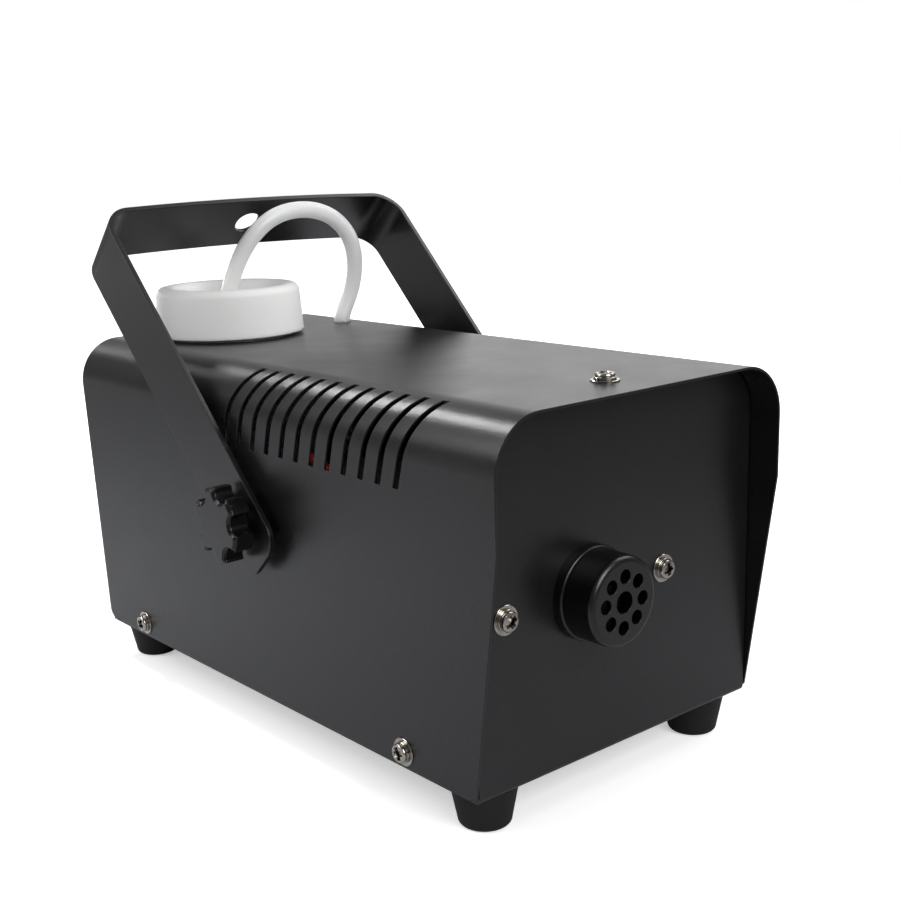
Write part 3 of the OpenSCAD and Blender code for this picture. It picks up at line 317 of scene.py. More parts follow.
def new_group(name, scale, outputs):
    """An empty node group. Gives it, its position, its scale and where its results go."""
    group = bpy.data.node_groups.new(name, "ShaderNodeTree")
    group.interface.new_socket("Position", in_out="INPUT", socket_type="NodeSocketVector")
    size = group.interface.new_socket("Scale", in_out="INPUT", socket_type="NodeSocketFloat")
    size.default_value = scale
    for label in outputs:
        group.interface.new_socket(label, in_out="OUTPUT", socket_type="NodeSocketFloat")
    given = group.nodes.new("NodeGroupInput").outputs
    made = group.nodes.new("NodeGroupOutput").inputs
    return group, given["Position"], given["Scale"], made


def feed(tree, socket, value):
    """Gives an input socket another socket's value, or a plain number."""
    if isinstance(value, (int, float)):
        socket.default_value = value
    else:
        tree.links.new(value, socket)


def number(tree, operation, *values):
    """A Math node whose inputs are sockets or numbers. Gives its output."""
    node = tree.nodes.new("ShaderNodeMath")
    node.operation = operation
    for socket, value in zip(node.inputs, values):
        feed(tree, socket, value)
    return node.outputs[0]


def noise(tree, position, scale, detail=2.0, roughness=0.55):
    """A noise texture of the position. Gives its value."""
    node = tree.nodes.new("ShaderNodeTexNoise")
    for label, value in (("Vector", position), ("Scale", scale), ("Detail", detail),
                         ("Roughness", roughness)):
        feed(tree, node.inputs[label], value)
    return node.outputs["Fac"]


def spread(tree, value, low, high, to_low=0.0, to_high=1.0):
    """A clamped Map Range of the value. Gives its result."""
    node = tree.nodes.new("ShaderNodeMapRange")
    tree.links.new(value, node.inputs["Value"])
    for label, setting in (("From Min", low), ("From Max", high),
                           ("To Min", to_low), ("To Max", to_high)):
        node.inputs[label].default_value = setting
    return node.outputs["Result"]


def grain_group():
    """Fine pebbled grain, and large soft patches for uneven colour and gloss."""
    group, position, scale, made = new_group("Surface grain", 2000.0, ["Height", "Patches"])
    coarse_scale = number(group, "MULTIPLY", scale, 0.36)
    patch_scale = number(group, "MULTIPLY", scale, 0.016)
    fine = noise(group, position, scale, 1.5, 0.5)
    coarse = noise(group, position, coarse_scale, 2.0)
    height = number(group, "MULTIPLY_ADD", coarse, 0.4, number(group, "MULTIPLY", fine, 0.8))
    patches = noise(group, position, patch_scale, 4.0, 0.6)
    group.links.new(height, made["Height"])
    group.links.new(spread(group, patches, 0.32, 0.68), made["Patches"])
    return group


def wear_group():
    """Mask of the outer edges, broken up as if rubbed."""
    group, position, scale, made = new_group("Rubbed edges", 300.0, ["Mask"])
    bend = group.nodes.new("ShaderNodeNewGeometry").outputs["Pointiness"]
    edge = spread(group, bend, 0.505, 0.56)
    broken = spread(group, noise(group, position, scale, 4.0, 0.65), 0.38, 0.62)
    group.links.new(number(group, "MULTIPLY", edge, broken), made["Mask"])
    return group


def hollow_shade_group():
    """Mask of the hollows, where shade is painted into the recesses."""
    group, position, scale, made = new_group("Dark hollows", 900.0, ["Mask"])
    bend = group.nodes.new("ShaderNodeNewGeometry").outputs["Pointiness"]
    hollow = spread(group, bend, 0.445, 0.495, 1.0, 0.0)
    uneven = spread(group, noise(group, position, scale, 3.0, 0.6), 0.2, 0.6, 0.7, 1.0)
    group.links.new(number(group, "MULTIPLY", hollow, uneven), made["Mask"])
    return group


def lines_group():
    """Fine lines drawn along the Z axis."""
    group, position, scale, made = new_group("Drawn lines", 2000.0, ["Height", "Tone"])
    drawn = group.nodes.new("ShaderNodeVectorMath")
    drawn.operation = "MULTIPLY"
    drawn.inputs[1].default_value = (1, 1, 0.05)
    group.links.new(position, drawn.inputs[0])
    lines = noise(group, drawn.outputs[0], scale, 3.0, 0.7)
    tone_scale = number(group, "MULTIPLY", scale, 0.12)
    tone = noise(group, position, tone_scale, 3.0, 0.6)
    group.links.new(lines, made["Height"])
    group.links.new(spread(group, tone, 0.35, 0.65), made["Tone"])
    return group


def dust_group():
    """Mask of light dust on the faces that look up."""
    group, position, scale, made = new_group("Settled dust", 120.0, ["Mask"])
    normal = group.nodes.new("ShaderNodeNewGeometry").outputs["Normal"]
    axes = group.nodes.new("ShaderNodeSeparateXYZ")
    group.links.new(normal, axes.inputs[0])
    up = spread(group, axes.outputs["Z"], 0.3, 1.0)
    cloud = spread(group, noise(group, position, scale, 5.0, 0.65), 0.4, 0.75)
    group.links.new(number(group, "MULTIPLY", up, cloud), made["Mask"])
    return group


def weave_group():
    """Height of a plain weave of yarns that cross."""
    group, position, scale, made = new_group("Plain weave", 900.0, ["Height"])
    waves = []
    for way in ("X", "Y", "Z"):
        wave = group.nodes.new("ShaderNodeTexWave")
        wave.bands_direction = way
        wave.inputs["Distortion"].default_value = 0.6
        group.links.new(position, wave.inputs["Vector"])
        group.links.new(scale, wave.inputs["Scale"])
        waves.append(wave.outputs["Fac"])
    crossed = number(group, "MAXIMUM", waves[0], number(group, "MAXIMUM", waves[1], waves[2]))
    group.links.new(crossed, made["Height"])
    return group


EFFECT_MAKERS = {"grain": grain_group, "wear": wear_group, "hollow_shade": hollow_shade_group,
                 "lines": lines_group, "dust": dust_group, "weave": weave_group}
EFFECTS = {}


def effect(tree, name, position, scale):
    """Places a shared effect in a material at its own scale. Gives its outputs."""
    if name not in EFFECTS:
        EFFECTS[name] = EFFECT_MAKERS[name]()
    node = tree.nodes.new("ShaderNodeGroup")
    node.node_tree = EFFECTS[name]
    tree.links.new(position, node.inputs["Position"])
    node.inputs["Scale"].default_value = scale
    return node.outputs


# ---------- Finishes ----------

# Kind, colour, roughness, grain per metre and depth of the grain, then what else a finish has.
# Where the colour is None, it is the one of the same name that a user may change.
FINISHES = {
    "case_paint": ("paint", None, 0.3, 3000, 0.00006, {"dust": 0.01, "shine": 0.5}),
    "handle_paint": ("paint", None, 0.3, 3000, 0.00003, {"shine": 0.55}),
    "black_rubber": ("plain", None, 0.62, 1800, 0.00003, {"dust": 0.05, "shine": 0.3}),
    # the screws get painted shade, near black, in their cross recesses and the hollows between
    # head, ring and washer
    "dark_nickel": ("metal", None, 0.16, 5000, 0.000003, {"hollow_shade": 1.0}),
    "zinc_steel": ("metal", (0.66, 0.67, 0.68), 0.32, 3500, 0.000008, {}),
    "knob_plastic": ("plain", None, 0.2, 3000, 0.00001, {"shine": 0.45}),
    "nozzle_black": ("paint", None, 0.3, 3600, 0.00003, {"shine": 0.55}),
    "brass": ("metal", (0.72, 0.52, 0.2), 0.3, 3000, 0.000006, {}),
    # blackened brass of the nozzle's jet; its dark colour is partly painted shade, so the nozzle's
    # holes read black
    "blackened_brass": ("metal", (0.03, 0.026, 0.02), 0.5, 3000, 0.00001, {}),
    "cast_aluminium": ("metal", (0.6, 0.61, 0.62), 0.5, 900, 0.00006, {"cast": True}),
    "rod_steel": ("metal", (0.5, 0.5, 0.51), 0.28, 4000, 0.000005, {}),
    "glass_fibre": ("weave", (0.8, 0.77, 0.68), 0.85, 700, 0.00012, {}),
    "bright_sheet": ("metal", (0.66, 0.67, 0.68), 0.36, 1500, 0.00001, {}),
    "dark_phenolic": ("plain", (0.05, 0.04, 0.035), 0.42, 2500, 0.00002, {}),
    "white_polythene": ("milky", None, 0.45, 900, 0.00002,
                        {"depth": 0.004, "milk": 0.7, "shine": 0.15}),
    "pale_rubber": ("plain", (0.6, 0.58, 0.53), 0.6, 1800, 0.00002, {}),
    "clear_hose": ("milky", None, 0.3, 700, 0.000015, {"depth": 0.015, "milk": 1.0}),
    "white_ptfe": ("milky", (0.86, 0.86, 0.84), 0.35, 900, 0.00001,
                   {"depth": 0.002, "milk": 0.3}),
    "cream_nylon": ("milky", (0.74, 0.7, 0.58), 0.45, 1500, 0.00001,
                    {"depth": 0.002, "milk": 0.25}),
    "black_moulding": ("plain", (0.016, 0.016, 0.017), 0.34, 2600, 0.000015, {"worn": 0.2}),
    "spring_steel": ("metal", (0.6, 0.6, 0.6), 0.22, 4000, 0.000004, {}),
    "board_green": ("board", (0.02, 0.14, 0.05), 0.3, 500, 0.00002, {}),
    "board_parts": ("plain", (0.03, 0.1, 0.33), 0.4, 1500, 0.00001, {}),
    "receiver_blue": ("board", (0.02, 0.06, 0.28), 0.3, 900, 0.00002, {}),
    "red_moulding": ("plain", (0.5, 0.015, 0.012), 0.28, 2400, 0.00001, {}),
    "fuse_glass": ("glass", (0.93, 0.96, 0.96), 0.05, 900, 0.000002, {}),
    "red_lens": ("milky", (0.6, 0.03, 0.02), 0.2, 1500, 0.00001,
                 {"depth": 0.002, "milk": 0.3}),
    "red_wire": ("plain", None, 0.4, 2400, 0.00002, {}),
    "black_wire": ("plain", (0.02, 0.02, 0.02), 0.42, 2400, 0.00002, {}),
}

# How far the colour strays from patch to patch, as a share, where it isn't PLAIN_CONTRAST
CONTRAST = {"paint": 0.12, "metal": 0.15, "milky": 0.03, "glass": 0.02}
PLAIN_CONTRAST = 0.1

# What may lie over a finish: the effect that masks it, the scale of that and the colour
COVERS = {"worn": ("wear", 260.0, (0.16, 0.16, 0.165)),
          "dust": ("dust", 90.0, (0.45, 0.44, 0.42)),
          # painted shade: a near-black colour laid into the hollows
          "hollow_shade": ("hollow_shade", 900.0, (0.012, 0.011, 0.01))}

# Half of the spread of roughness from patch to patch, and the least that it may come to
GLOSS_SPREAD = 0.025
LEAST_ROUGHNESS = 0.02


def slot_of(node):
    """The record's material slot of a node."""
    for part in frame["record"]["subparts"]:
        if part["node"] == node:
            return part["material_slot"]
    raise ValueError("no material slot for " + node)


def mixed(tree, factor, low, high):
    """Mix of two colours, each a socket or three numbers, by a factor socket."""
    node = tree.nodes.new("ShaderNodeMix")
    node.data_type = "RGBA"
    tree.links.new(factor, node.inputs["Factor"])
    for label, value in (("A", low), ("B", high)):
        socket = [s for s in node.inputs if s.name == label and s.type == "RGBA"][0]
        if isinstance(value, bpy.types.NodeSocket):
            tree.links.new(value, socket)
        else:
            socket.default_value = (*value, 1.0)
    return [s for s in node.outputs if s.type == "RGBA"][0]


def dull(value, share):
    """A colour made darker or lighter by a share."""
    return tuple(min(1.0, channel * share) for channel in value)


def board_tint(tree, position, scale, tint, base):
    """The colour of a circuit board, crossed by its lighter tracks."""
    tracks = tree.nodes.new("ShaderNodeTexBrick")
    tree.links.new(position, tracks.inputs["Vector"])
    tracks.inputs["Scale"].default_value = scale
    tracks.inputs["Mortar Size"].default_value = 0.06
    return mixed(tree, tracks.outputs["Fac"], tint, dull(base, 2.2))


def set_kind(shader, kind, more):
    """Sets what a kind of finish keeps the same all over."""
    settings = {"Specular IOR Level": more.get("shine", 0.5)}
    if kind == "metal":
        settings["Metallic"] = 1.0
    if kind == "glass":
        settings.update({"Transmission Weight": 1.0, "IOR": 1.5})
    if kind == "milky":
        settings.update({"Subsurface Weight": more["milk"],
                         "Subsurface Radius": (1.0, 0.95, 0.88),
                         "Subsurface Scale": more["depth"]})
    for label, value in settings.items():
        shader.inputs[label].default_value = value


MADE = {}


def finish_of(slot):
    """The procedural material of a slot, made once."""
    if slot in MADE:
        return MADE[slot]
    kind, own, rough, scale, depth, more = FINISHES[slot]
    base = own or tuple(getattr(bpy.context.scene.fog_machine_colours, slot))
    material = bpy.data.materials.new(slot + "_finish")
    material.use_nodes = True
    MADE[slot] = material
    tree = material.node_tree
    shader = tree.nodes["Principled BSDF"]
    set_kind(shader, kind, more)
    position = tree.nodes.new("ShaderNodeTexCoord").outputs["Object"]
    grain = effect(tree, "grain", position, scale)
    height, patches = grain["Height"], grain["Patches"]
    contrast = CONTRAST.get(kind, PLAIN_CONTRAST)
    tint = mixed(tree, patches, dull(base, 1 - contrast), dull(base, 1 + contrast))
    if kind == "metal" and not more.get("cast"):
        lines = effect(tree, "lines", position, scale)
        height = lines["Height"]
        tint = mixed(tree, lines["Tone"], dull(base, 0.85), dull(base, 1.1))
    if kind == "paint":
        peaks = spread(tree, height, 0.66, 0.8)
        tint = mixed(tree, peaks, tint, dull(base, 1.8))
    if kind == "weave":
        height = effect(tree, "weave", position, scale)["Height"]
        tint = mixed(tree, height, dull(base, 0.7), base)
    if kind == "board":
        tint = board_tint(tree, position, scale, tint, base)
    for cover, (mask, mask_scale, shade) in COVERS.items():
        if cover in more:
            covered = effect(tree, mask, position, mask_scale)["Mask"]
            covered = number(tree, "MULTIPLY", covered, more[cover])
            tint = mixed(tree, covered, tint, shade)
    tree.links.new(tint, shader.inputs["Base Color"])
    gloss = spread(tree, patches, 0.0, 1.0, max(LEAST_ROUGHNESS, rough - GLOSS_SPREAD),
                   rough + GLOSS_SPREAD)
    tree.links.new(gloss, shader.inputs["Roughness"])
    bump = tree.nodes.new("ShaderNodeBump")
    bump.inputs["Strength"].default_value = 1.0
    bump.inputs["Distance"].default_value = depth
    tree.links.new(height, bump.inputs["Height"])
    tree.links.new(bump.outputs["Normal"], shader.inputs["Normal"])
    return material


def dress(node):
    """Gives a solid that is shown as it is the finish of its slot."""
    mesh_object = frame["nodes"][node]
    if not mesh_object.material_slots:
        mesh_object.data.materials.append(None)
    for place in mesh_object.material_slots:
        place.material = finish_of(slot_of(node))


# ---------- Lamps ----------

# Of each lamp: how far round from +Y towards +X and how high it stands, both in degrees, then
# its distance and its size in metres and its power in watts. These are kept off the white cap.
HIGH_LAMPS = {
    "rear panel left": (31, 14, 2.0, (0.7, 0.7), 0.8),
    "rear panel right": (56, 14, 2.0, (1.1, 0.7), 2.6),
    "rear panel high": (44, 34, 2.0, (1.6, 0.7), 1.7),
    "edge light": (-5, 47, 0.97, (0.11, 0.11), 2.6),
    "edge light rear": (-3, 26, 1.1, (0.11, 0.11), 0.18),
    "left panel": (-60, 38, 1.8, (1.0, 1.0), 15),
}
# These light everything
FULL_LAMPS = {
    "front panel": (186, 32, 1.8, (1.0, 1.0), 20),
    "right panel": (105, 45, 1.8, (1.0, 1.0), 9),
}
# These light only the white cap and the hose
LOW_LAMPS = {
    "low panel left": (-60, 5, 1.8, (0.8, 0.4), 5),
    "low panel right": (105, 5, 1.8, (0.8, 0.4), 4),
    "low panel rear": (5, 5, 1.8, (0.8, 0.4), 7),
}
# The lamps face this point, in the middle of the case
LAMP_TARGET = Vector((0, 0, 0.07))


def softbox(name, azimuth, height, distance, size, power):
    """A soft panel that faces the machine."""
    turn, lift = math.radians(azimuth), math.radians(height)
    away = Vector((math.sin(turn) * math.cos(lift), math.cos(turn) * math.cos(lift),
                   math.sin(lift)))
    lamp = bpy.data.lights.new(name, "AREA")
    lamp.shape = "RECTANGLE"
    lamp.size, lamp.size_y = size
    lamp.energy = power * bpy.context.scene.fog_machine_studio.power
    made = bpy.data.objects.new(name, lamp)
    made.location = LAMP_TARGET + away * distance
    made.rotation_euler = (-away).to_track_quat("-Z", "Y").to_euler()
    made.visible_camera = False
    bpy.context.scene.collection.objects.link(made)
    return made


# ---------- Operators ----------

class FogMachineStep:
    """What every step of the build shares"""
    bl_options = {"REGISTER", "UNDO"}

    @property
    def sizes(self):
        return bpy.context.scene.fog_machine_sizes


class FOGMACHINE_OT_stage(FogMachineStep, bpy.types.Operator):
    """Sets the camera, the pale floor and the soft lights"""
    bl_idname = "fogmachine.stage"
    bl_label = "Stage"

    def camera(self, studio):
        """A camera whose turn and dip are counted from a level look along +Y"""
        lens = bpy.data.cameras.new("camera")
        lens.lens = studio.lens
        lens.sensor_width = 36
        lens.shift_x, lens.shift_y = studio.shift
        lens.clip_start = 0.01
        made = bpy.data.objects.new("camera", lens)
        forward = Vector((math.sin(studio.yaw) * math.cos(studio.pitch),
                          math.cos(studio.yaw) * math.cos(studio.pitch),
                          -math.sin(studio.pitch)))
        right = Vector((math.cos(studio.yaw), -math.sin(studio.yaw), 0))
        up = right.cross(forward)
        tilted_right = right * math.cos(studio.roll) + up * math.sin(studio.roll)
        tilted_up = up * math.cos(studio.roll) - right * math.sin(studio.roll)
        turn = Matrix((tilted_right, tilted_up, -forward)).transposed()
        made.matrix_world = Matrix.Translation(studio.stand) @ turn.to_4x4()
        bpy.context.scene.collection.objects.link(made)
        bpy.context.scene.camera = made

    def floor_finish(self, studio):
        """White to the camera, with a bounce that differs from place to place"""
        finish = bpy.data.materials.new("floor")
        finish.use_nodes = True
        tree = finish.node_tree
        shader = tree.nodes["Principled BSDF"]
        position = tree.nodes.new("ShaderNodeTexCoord").outputs["Object"]
        seen = tree.nodes.new("ShaderNodeLightPath").outputs["Is Camera Ray"]
        radius = tree.nodes.new("ShaderNodeVectorMath")
        radius.operation = "LENGTH"
        tree.links.new(position, radius.inputs[0])
        away = radius.outputs["Value"]
        axes = tree.nodes.new("ShaderNodeSeparateXYZ")
        tree.links.new(position, axes.inputs[0])
        # where each change starts and ends: distances from the machine, and places along Y
        dimming, whitening = (0.2, 0.7), (0.2, 0.6)
        brightening, front_to_back = (1.2, 2.5), (-0.45, 0.1)
        # painted shade: to all but the camera the floor's colour is darker far from the machine
        # and in front of it, which darkens the machine's reflections of it there
        bounce = spread(tree, away, *dimming, studio.bounce, studio.bounce_far)
        ahead = spread(tree, axes.outputs["Y"], *front_to_back, studio.bounce_front, 1.0)
        share = number(tree, "MULTIPLY", bounce, ahead)
        # painted reflection tint: this colour is faintly bluish, so the black parts' reflections
        # of the floor turn bluish
        shade = mixed(tree, share, (0, 0, 0), (0.91, 0.92, 0.96))
        tone = tuple(bpy.context.scene.fog_machine_colours.floor)
        patches = effect(tree, "grain", position, 300.0)["Patches"]
        plain = mixed(tree, patches, tone, dull(tone, 1.01))
        tree.links.new(mixed(tree, seen, shade, plain), shader.inputs["Base Color"])
        # the camera sees it glow, the more so the farther from the machine
        glow = spread(tree, away, *whitening, studio.glow, 1.0)
        # painted light: to all but the camera the far floor behind glows, bright enough to show as
        # a reflection in the handle's arms
        far = spread(tree, away, *brightening, 0.0, studio.horizon)
        behind = spread(tree, axes.outputs["Y"], *front_to_back)
        horizon = number(tree, "MULTIPLY", far, behind)
        unseen = number(tree, "MULTIPLY", number(tree, "SUBTRACT", 1.0, seen), horizon)
        tree.links.new(number(tree, "MULTIPLY_ADD", seen, glow, unseen),
                       shader.inputs["Emission Strength"])
        shader.inputs["Emission Color"].default_value = (1, 1, 1, 1)
        shader.inputs["Roughness"].default_value = 0.9
        shader.inputs["Specular IOR Level"].default_value = 0.1
        return finish

    def floor(self, studio):
        """A wide floor at Z = 0"""
        reach = 5.0
        bm = bmesh.new()
        bmesh.ops.create_grid(bm, x_segments=8, y_segments=8, size=reach)
        mesh = filled_mesh(bm, "floor")
        made = bpy.data.objects.new("floor", mesh)
        bpy.context.scene.collection.objects.link(made)
        mesh.materials.append(self.floor_finish(studio))

    def surround(self, studio):
        """A surround that is white to the camera and a weak light to all else"""
        sky = bpy.data.worlds.new("surround")
        sky.use_nodes = True
        tree = sky.node_tree
        background = tree.nodes["Background"]
        seen = tree.nodes.new("ShaderNodeLightPath").outputs["Is Camera Ray"]
        tree.links.new(spread(tree, seen, 0.0, 1.0, studio.sky, 1.0),
                       background.inputs["Strength"])
        background.inputs["Color"].default_value = (1, 1, 1, 1)
        bpy.context.scene.world = sky
        bpy.context.scene.view_settings.view_transform = "Standard"

    def execute(self, context):
        studio = context.scene.fog_machine_studio
        self.camera(studio)
        self.floor(studio)
        for name, setting in (HIGH_LAMPS | FULL_LAMPS).items():
            softbox(name, *setting)
        self.surround(studio)
        return {"FINISHED"}


class FOGMACHINE_OT_supply_hose(FogMachineStep, bpy.types.Operator):
    """Lays the milky hose from the cap over to the case"""
    bl_idname = "fogmachine.supply_hose"
    bl_label = "Supply hose"

    def execute(self, context):
        route = smooth_route(HOSE_ROUTE)
        line = bpy.data.curves.new("milky_hose", "CURVE")
        line.dimensions = "3D"
        line.bevel_depth = self.sizes.hose_diameter / 2
        line.bevel_resolution = 10
        line.use_fill_caps = True
        spline = line.splines.new("POLY")
        spline.points.add(len(route) - 1)
        for point, place in zip(spline.points, route):
            point.co = (*place, 1.0)
        spline.use_smooth = True
        hose = bpy.data.objects.new("milky_hose", line)
        context.scene.collection.objects.link(hose)
        line.materials.append(finish_of("clear_hose"))
        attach(hose, CASE)
        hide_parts("supply_hose")
        return {"FINISHED"}


class FOGMACHINE_OT_case(FogMachineStep, bpy.types.Operator):
    """Finishes the folded cover, the chassis, the rear panel and the feet"""
    bl_idname = "fogmachine.case"
    bl_label = "Case"

    def execute(self, context):
        softened("top_cover", "painted_cover", self.sizes.sheet_edge)
        softened("chassis", "painted_chassis", self.sizes.sheet_edge)
        softened("rear_panel", "painted_rear_panel", self.sizes.sheet_edge)
        softened("rubber_feet", "moulded_feet", self.sizes.foot_edge)
        return {"FINISHED"}


class FOGMACHINE_OT_handle(FogMachineStep, bpy.types.Operator):
    """Finishes the strap handle, its spacers and the two star knobs"""
    bl_idname = "fogmachine.handle"
    bl_label = "Handle and knobs"

    def execute(self, context):
        softened("handle_bracket", "strap_handle", self.sizes.strap_edge)
        softened("handle_spacers", "rubber_spacers", self.sizes.moulded_edge)
        softened("knob_left", "star_knob_left", self.sizes.knob_edge, 3)
        softened("knob_right", "star_knob_right", self.sizes.knob_edge, 3)
        return {"FINISHED"}


class FOGMACHINE_OT_nozzle(FogMachineStep, bpy.types.Operator):
    """Finishes the perforated nozzle and its collar"""
    bl_idname = "fogmachine.nozzle"
    bl_label = "Nozzle"

    def execute(self, context):
        softened("nozzle_cap", "perforated_nozzle", self.sizes.nozzle_edge)
        softened("nozzle_collar", "nozzle_collar_ring", self.sizes.nozzle_edge)
        return {"FINISHED"}


class FOGMACHINE_OT_cap(FogMachineStep, bpy.types.Operator):
    """Turns the white refill cap with its soft rim and faint rings"""
    bl_idname = "fogmachine.cap"
    bl_label = "Refill cap"

    def side(self, radius, height, taper, foot, rim):
        """The outer wall from its foot to the rim, with faint rings"""
        steps, rings, ring_depth = 28, 4, 0.012 * MM
        wall = []
        for i in range(steps + 1):
            share = i / steps
            ripple = ring_depth * math.sin(share * math.tau * rings)
            wall.append((radius - taper * share + ripple, foot + share * (height - foot - rim)))
        return wall

    def execute(self, context):
        low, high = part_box("tank_cap")
        centre = (low + high) / 2
        radius = (high.x - low.x) / 2
        height = high.z - low.z
        bore = self.sizes.hose_diameter / 2 + 0.3 * MM
        dish, disc = height - 7 * MM, 2 * MM
        inside = radius - 4 * MM
        foot, taper = 0.5 * MM, 0.9 * MM
        rim, lip, lip_width = 3.2 * MM, 3.2 * MM, 1.2 * MM
        hollow, hollow_width = 2.6 * MM, 9.5 * MM
        crest = radius - taper - rim
        profile = (
            [(bore, dish), (bore, dish - disc), (inside, dish - disc), (inside, 0)]
            + arc((radius - foot, foot), foot, 270, 355, 4)
            + self.side(radius, height, taper, foot, rim)
            + arc((crest, height - rim), rim, 5, 90, 8)
            + arc((crest - lip_width, height - lip), lip, 90, 150, 6)
            + arc((crest - hollow_width, dish + hollow), hollow, 310, 270, 4))
        bm = turned(profile, steps=112)
        bmesh.ops.translate(bm, verts=bm.verts, vec=(centre.x, centre.y, low.z))
        cap = finished_piece(bm, "white_cap", "tank_cap")
        cap.data.set_sharp_from_angle(angle=math.radians(40))
        return {"FINISHED"}


class FOGMACHINE_OT_cap_light(FogMachineStep, bpy.types.Operator):
    """Keeps the high lamps off the white cap, and lights it and the hose from low down"""
    bl_idname = "fogmachine.cap_light"
    bl_label = "Cap light"

    def execute(self, context):
        shaded = bpy.data.collections.new("shaded from high lamps")
        shaded.objects.link(bpy.data.objects["white_cap"])
        shaded.collection_objects[0].light_linking.link_state = "EXCLUDE"
        for name in HIGH_LAMPS:
            bpy.data.objects[name].light_linking.receiver_collection = shaded
        white = bpy.data.collections.new("white parts")
        for name in ("white_cap", "milky_hose"):
            white.objects.link(bpy.data.objects[name])
        for name, setting in LOW_LAMPS.items():
            softbox(name, *setting).light_linking.receiver_collection = white
        return {"FINISHED"}


class FOGMACHINE_OT_screws(FogMachineStep, bpy.types.Operator):
    """Makes the cross-head screws with their washers and lock rings"""
    bl_idname = "fogmachine.screws"
    bl_label = "Screws"

    def threads(self, shank, long):
        """The profile of the threads below the head"""
        pitch, turns = 0.7 * MM, 9
        root, crest = 0.25 * MM, 0.3 * MM
        profile = []
        for i in range(turns):
            z = -long + i * pitch
            profile += [(shank - root, z), (shank, z + crest)]
        return profile

    def cross(self, height):
        """Two wedges that cross, for the recess in a head"""
        top, mouth, foot = 0.6 * MM, (5.0 * MM, 2.1 * MM), (3.2 * MM, 1.3 * MM)
        bm = bmesh.new()
        for turn in (0, math.pi / 2):
            wedge = bmesh.ops.create_cube(bm, size=1.0)["verts"]
            for vert in wedge:
                deep = vert.co.z < 0
                long, wide = foot if deep else mouth
                vert.co.x *= long
                vert.co.y *= wide
                vert.co.z = height - self.sizes.recess_depth if deep else height + top
            bmesh.ops.rotate(bm, verts=wedge, cent=(0, 0, 0),
                             matrix=Matrix.Rotation(turn, 3, "Z"))
        return filled_mesh(bm, "cross")

    def head(self):
        """A pan head with a cross recess, its seat at Z = 0"""
        radius, height = 3.2 * MM, 1.9 * MM
        shank, long = 1.95 * MM, 6 * MM
        shoulder, crown = 0.9 * MM, 0.42 * MM
        profile = ([(0, -long)] + self.threads(shank, long)
                   + [(shank - 0.1 * MM, 0), (radius - 0.2 * MM, 0)]
                   + arc((radius - shoulder, shoulder), shoulder, -60, 50, 8)
                   + [(radius * (1 - share), height - crown * (1 - share) ** 2)
                      for share in (0.45, 0.7)] + [(0, height)])
        return cut(filled_mesh(turned(profile, steps=40), "head"), self.cross(height))

    def flat_washer(self):
        """A thin washer with softened edges, its seat at Z = 0"""
        outer, inner, thick = 4.6 * MM, WASHER_BORE, self.sizes.washer_thickness
        soft = 0.12 * MM
        profile = [(inner, 0), (outer - soft, 0), (outer, soft), (outer, thick - soft),
                   (outer - soft, thick), (inner + soft, thick), (inner, thick - soft)]
        return turned(profile, steps=48)

    def lock_ring(self):
        """A split ring whose ends stand apart, on the flat washer"""
        outer, inner = self.sizes.lock_ring / 2, WASHER_BORE
        soft, half_gap = 0.1 * MM, math.radians(4)
        base = self.sizes.washer_thickness
        top = base + 0.8 * MM
        profile = [(inner, base), (outer - soft, base), (outer, base + soft),
                   (outer, top - soft), (outer - soft, top), (inner, top)]
        bm = bmesh.new()
        verts = [bm.verts.new((radius, 0, height)) for radius, height in profile]
        face = bm.faces.new(verts)
        bmesh.ops.rotate(bm, verts=verts, cent=(0, 0, 0),
                         matrix=Matrix.Rotation(half_gap, 3, "Z"))
        bmesh.ops.spin(bm, geom=[face], cent=(0, 0, 0), axis=(0, 0, 1),
                       angle=math.tau - 2 * half_gap, steps=44, use_merge=False,
                       use_duplicate=False)
        bmesh.ops.recalc_face_normals(bm, faces=bm.faces)
        return bm

    def place_of(self, low, high, turn):
        """The place of a washer: its seat as the origin and its axis as Z, turned in degrees"""
        middle = (Vector(cad_box[0]) + Vector(cad_box[1])) / 2
        size = high - low
        way = min(range(3), key=lambda axis: size[axis])
        centre = (low + high) / 2
        out = Vector((0, 0, 0))
        out[way] = 1.0 if centre[way] > middle[way] else -1.0
        seat = centre - out * size[way] / 2
        return (Matrix.Translation(seat) @ out.to_track_quat("Z", "Y").to_matrix().to_4x4()
                @ Matrix.Rotation(math.radians(turn), 4, "Z"))

    def set_of(self, washers, screws, name, turns):
        """Heads, washers and rings at every place of a washer node, as two pieces"""
        heads, rings = bmesh.new(), bmesh.new()
        head = self.head()
        washer = filled_mesh(self.flat_washer(), "washer")
        ring = filled_mesh(self.lock_ring(), "ring")
        lift = self.sizes.washer_thickness + 0.4 * MM
        for (low, high), turn in zip(islands(washers), turns):
            place = self.place_of(low, high, turn)
            for mesh, target, shift in ((head, heads, lift), (washer, rings, 0),
                                        (ring, rings, 0)):
                copy = mesh.copy()
                copy.transform(place @ Matrix.Translation((0, 0, shift)))
                target.from_mesh(copy)
                bpy.data.meshes.remove(copy)
        for bm, label, node in ((heads, name + "_screws", screws),
                                (rings, name + "_rings", washers)):
            piece = finished_piece(bm, label, node)
            piece.data.set_sharp_from_angle(angle=math.radians(35))

    def execute(self, context):
        self.set_of("cover_washers", "cover_screws", "case", (20, 62, 8, 41, 75))
        self.set_of("heater_washers", "heater_screws", "front", (28, 12))
        return {"FINISHED"}


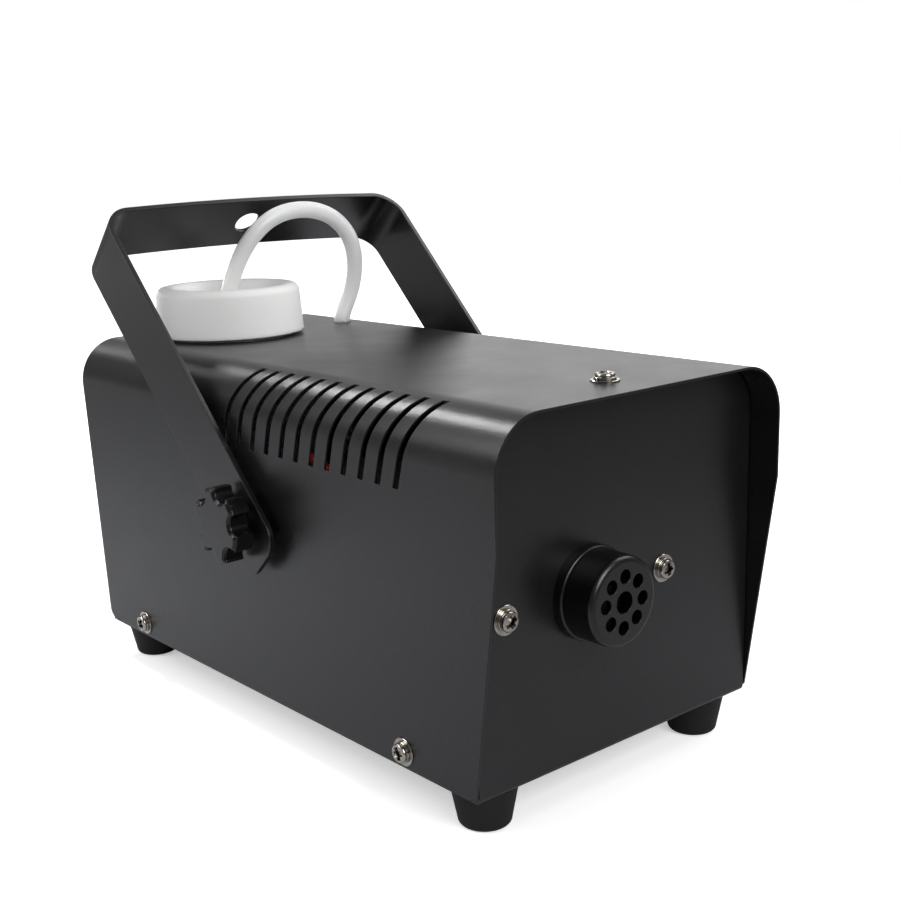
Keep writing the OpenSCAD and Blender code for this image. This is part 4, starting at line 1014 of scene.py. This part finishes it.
class FOGMACHINE_OT_rear_controls(FogMachineStep, bpy.types.Operator):
    """Finishes the switch, fuse holder, socket, gland and light"""
    bl_idname = "fogmachine.rear_controls"
    bl_label = "Rear controls"

    def execute(self, context):
        small_edge = self.sizes.moulded_edge * 0.6
        for node, name in (("power_switch", "switch_body"), ("power_rocker", "switch_rocker"),
                           ("fuse_holder", "fuse_holder_body"), ("fuse_cap", "fuse_carrier"),
                           ("remote_socket", "remote_socket_body"),
                           ("mains_gland", "gland_body"), ("ready_light", "light_lens")):
            softened(node, name, small_edge)
        return {"FINISHED"}


class FOGMACHINE_OT_inside(FogMachineStep, bpy.types.Operator):
    """Gives every solid that is shown as it is its finish"""
    bl_idname = "fogmachine.inside"
    bl_label = "Inner parts"

    def execute(self, context):
        for node, solid in frame["nodes"].items():
            if not solid.hide_render:
                dress(node)
        return {"FINISHED"}


STEPS = [FOGMACHINE_OT_stage, FOGMACHINE_OT_supply_hose, FOGMACHINE_OT_case,
         FOGMACHINE_OT_handle, FOGMACHINE_OT_nozzle, FOGMACHINE_OT_cap, FOGMACHINE_OT_cap_light,
         FOGMACHINE_OT_screws, FOGMACHINE_OT_rear_controls, FOGMACHINE_OT_inside]


class FOGMACHINE_PT_panel(bpy.types.Panel):
    """Lists the steps, sizes and colours of the fog machine"""
    bl_label = "Fog machine"
    bl_idname = "FOGMACHINE_PT_panel"
    bl_space_type = "VIEW_3D"
    bl_region_type = "UI"
    bl_category = "Fog machine"

    def draw(self, context):
        for step in STEPS:
            self.layout.operator(step.bl_idname)
        for settings in (context.scene.fog_machine_sizes, context.scene.fog_machine_colours,
                         context.scene.fog_machine_studio):
            box = self.layout.box()
            for label in settings.bl_rna.properties.keys():
                if label not in ("rna_type", "name"):
                    box.prop(settings, label)


GROUPS = {"fog_machine_sizes": FogMachineSizes, "fog_machine_colours": FogMachineColours,
          "fog_machine_studio": FogMachineStudio}


def register():
    for made in (*GROUPS.values(), *STEPS, FOGMACHINE_PT_panel):
        bpy.utils.register_class(made)
    for name, group in GROUPS.items():
        setattr(bpy.types.Scene, name, bpy.props.PointerProperty(type=group))


def unregister():
    for name in GROUPS:
        delattr(bpy.types.Scene, name)
    for made in (FOGMACHINE_PT_panel, *reversed(STEPS), *reversed(list(GROUPS.values()))):
        bpy.utils.unregister_class(made)


def main():
    register()
    for step in STEPS:
        group, name = step.bl_idname.split(".")
        getattr(getattr(bpy.ops, group), name)()


if __name__ == "__main__":
    main()
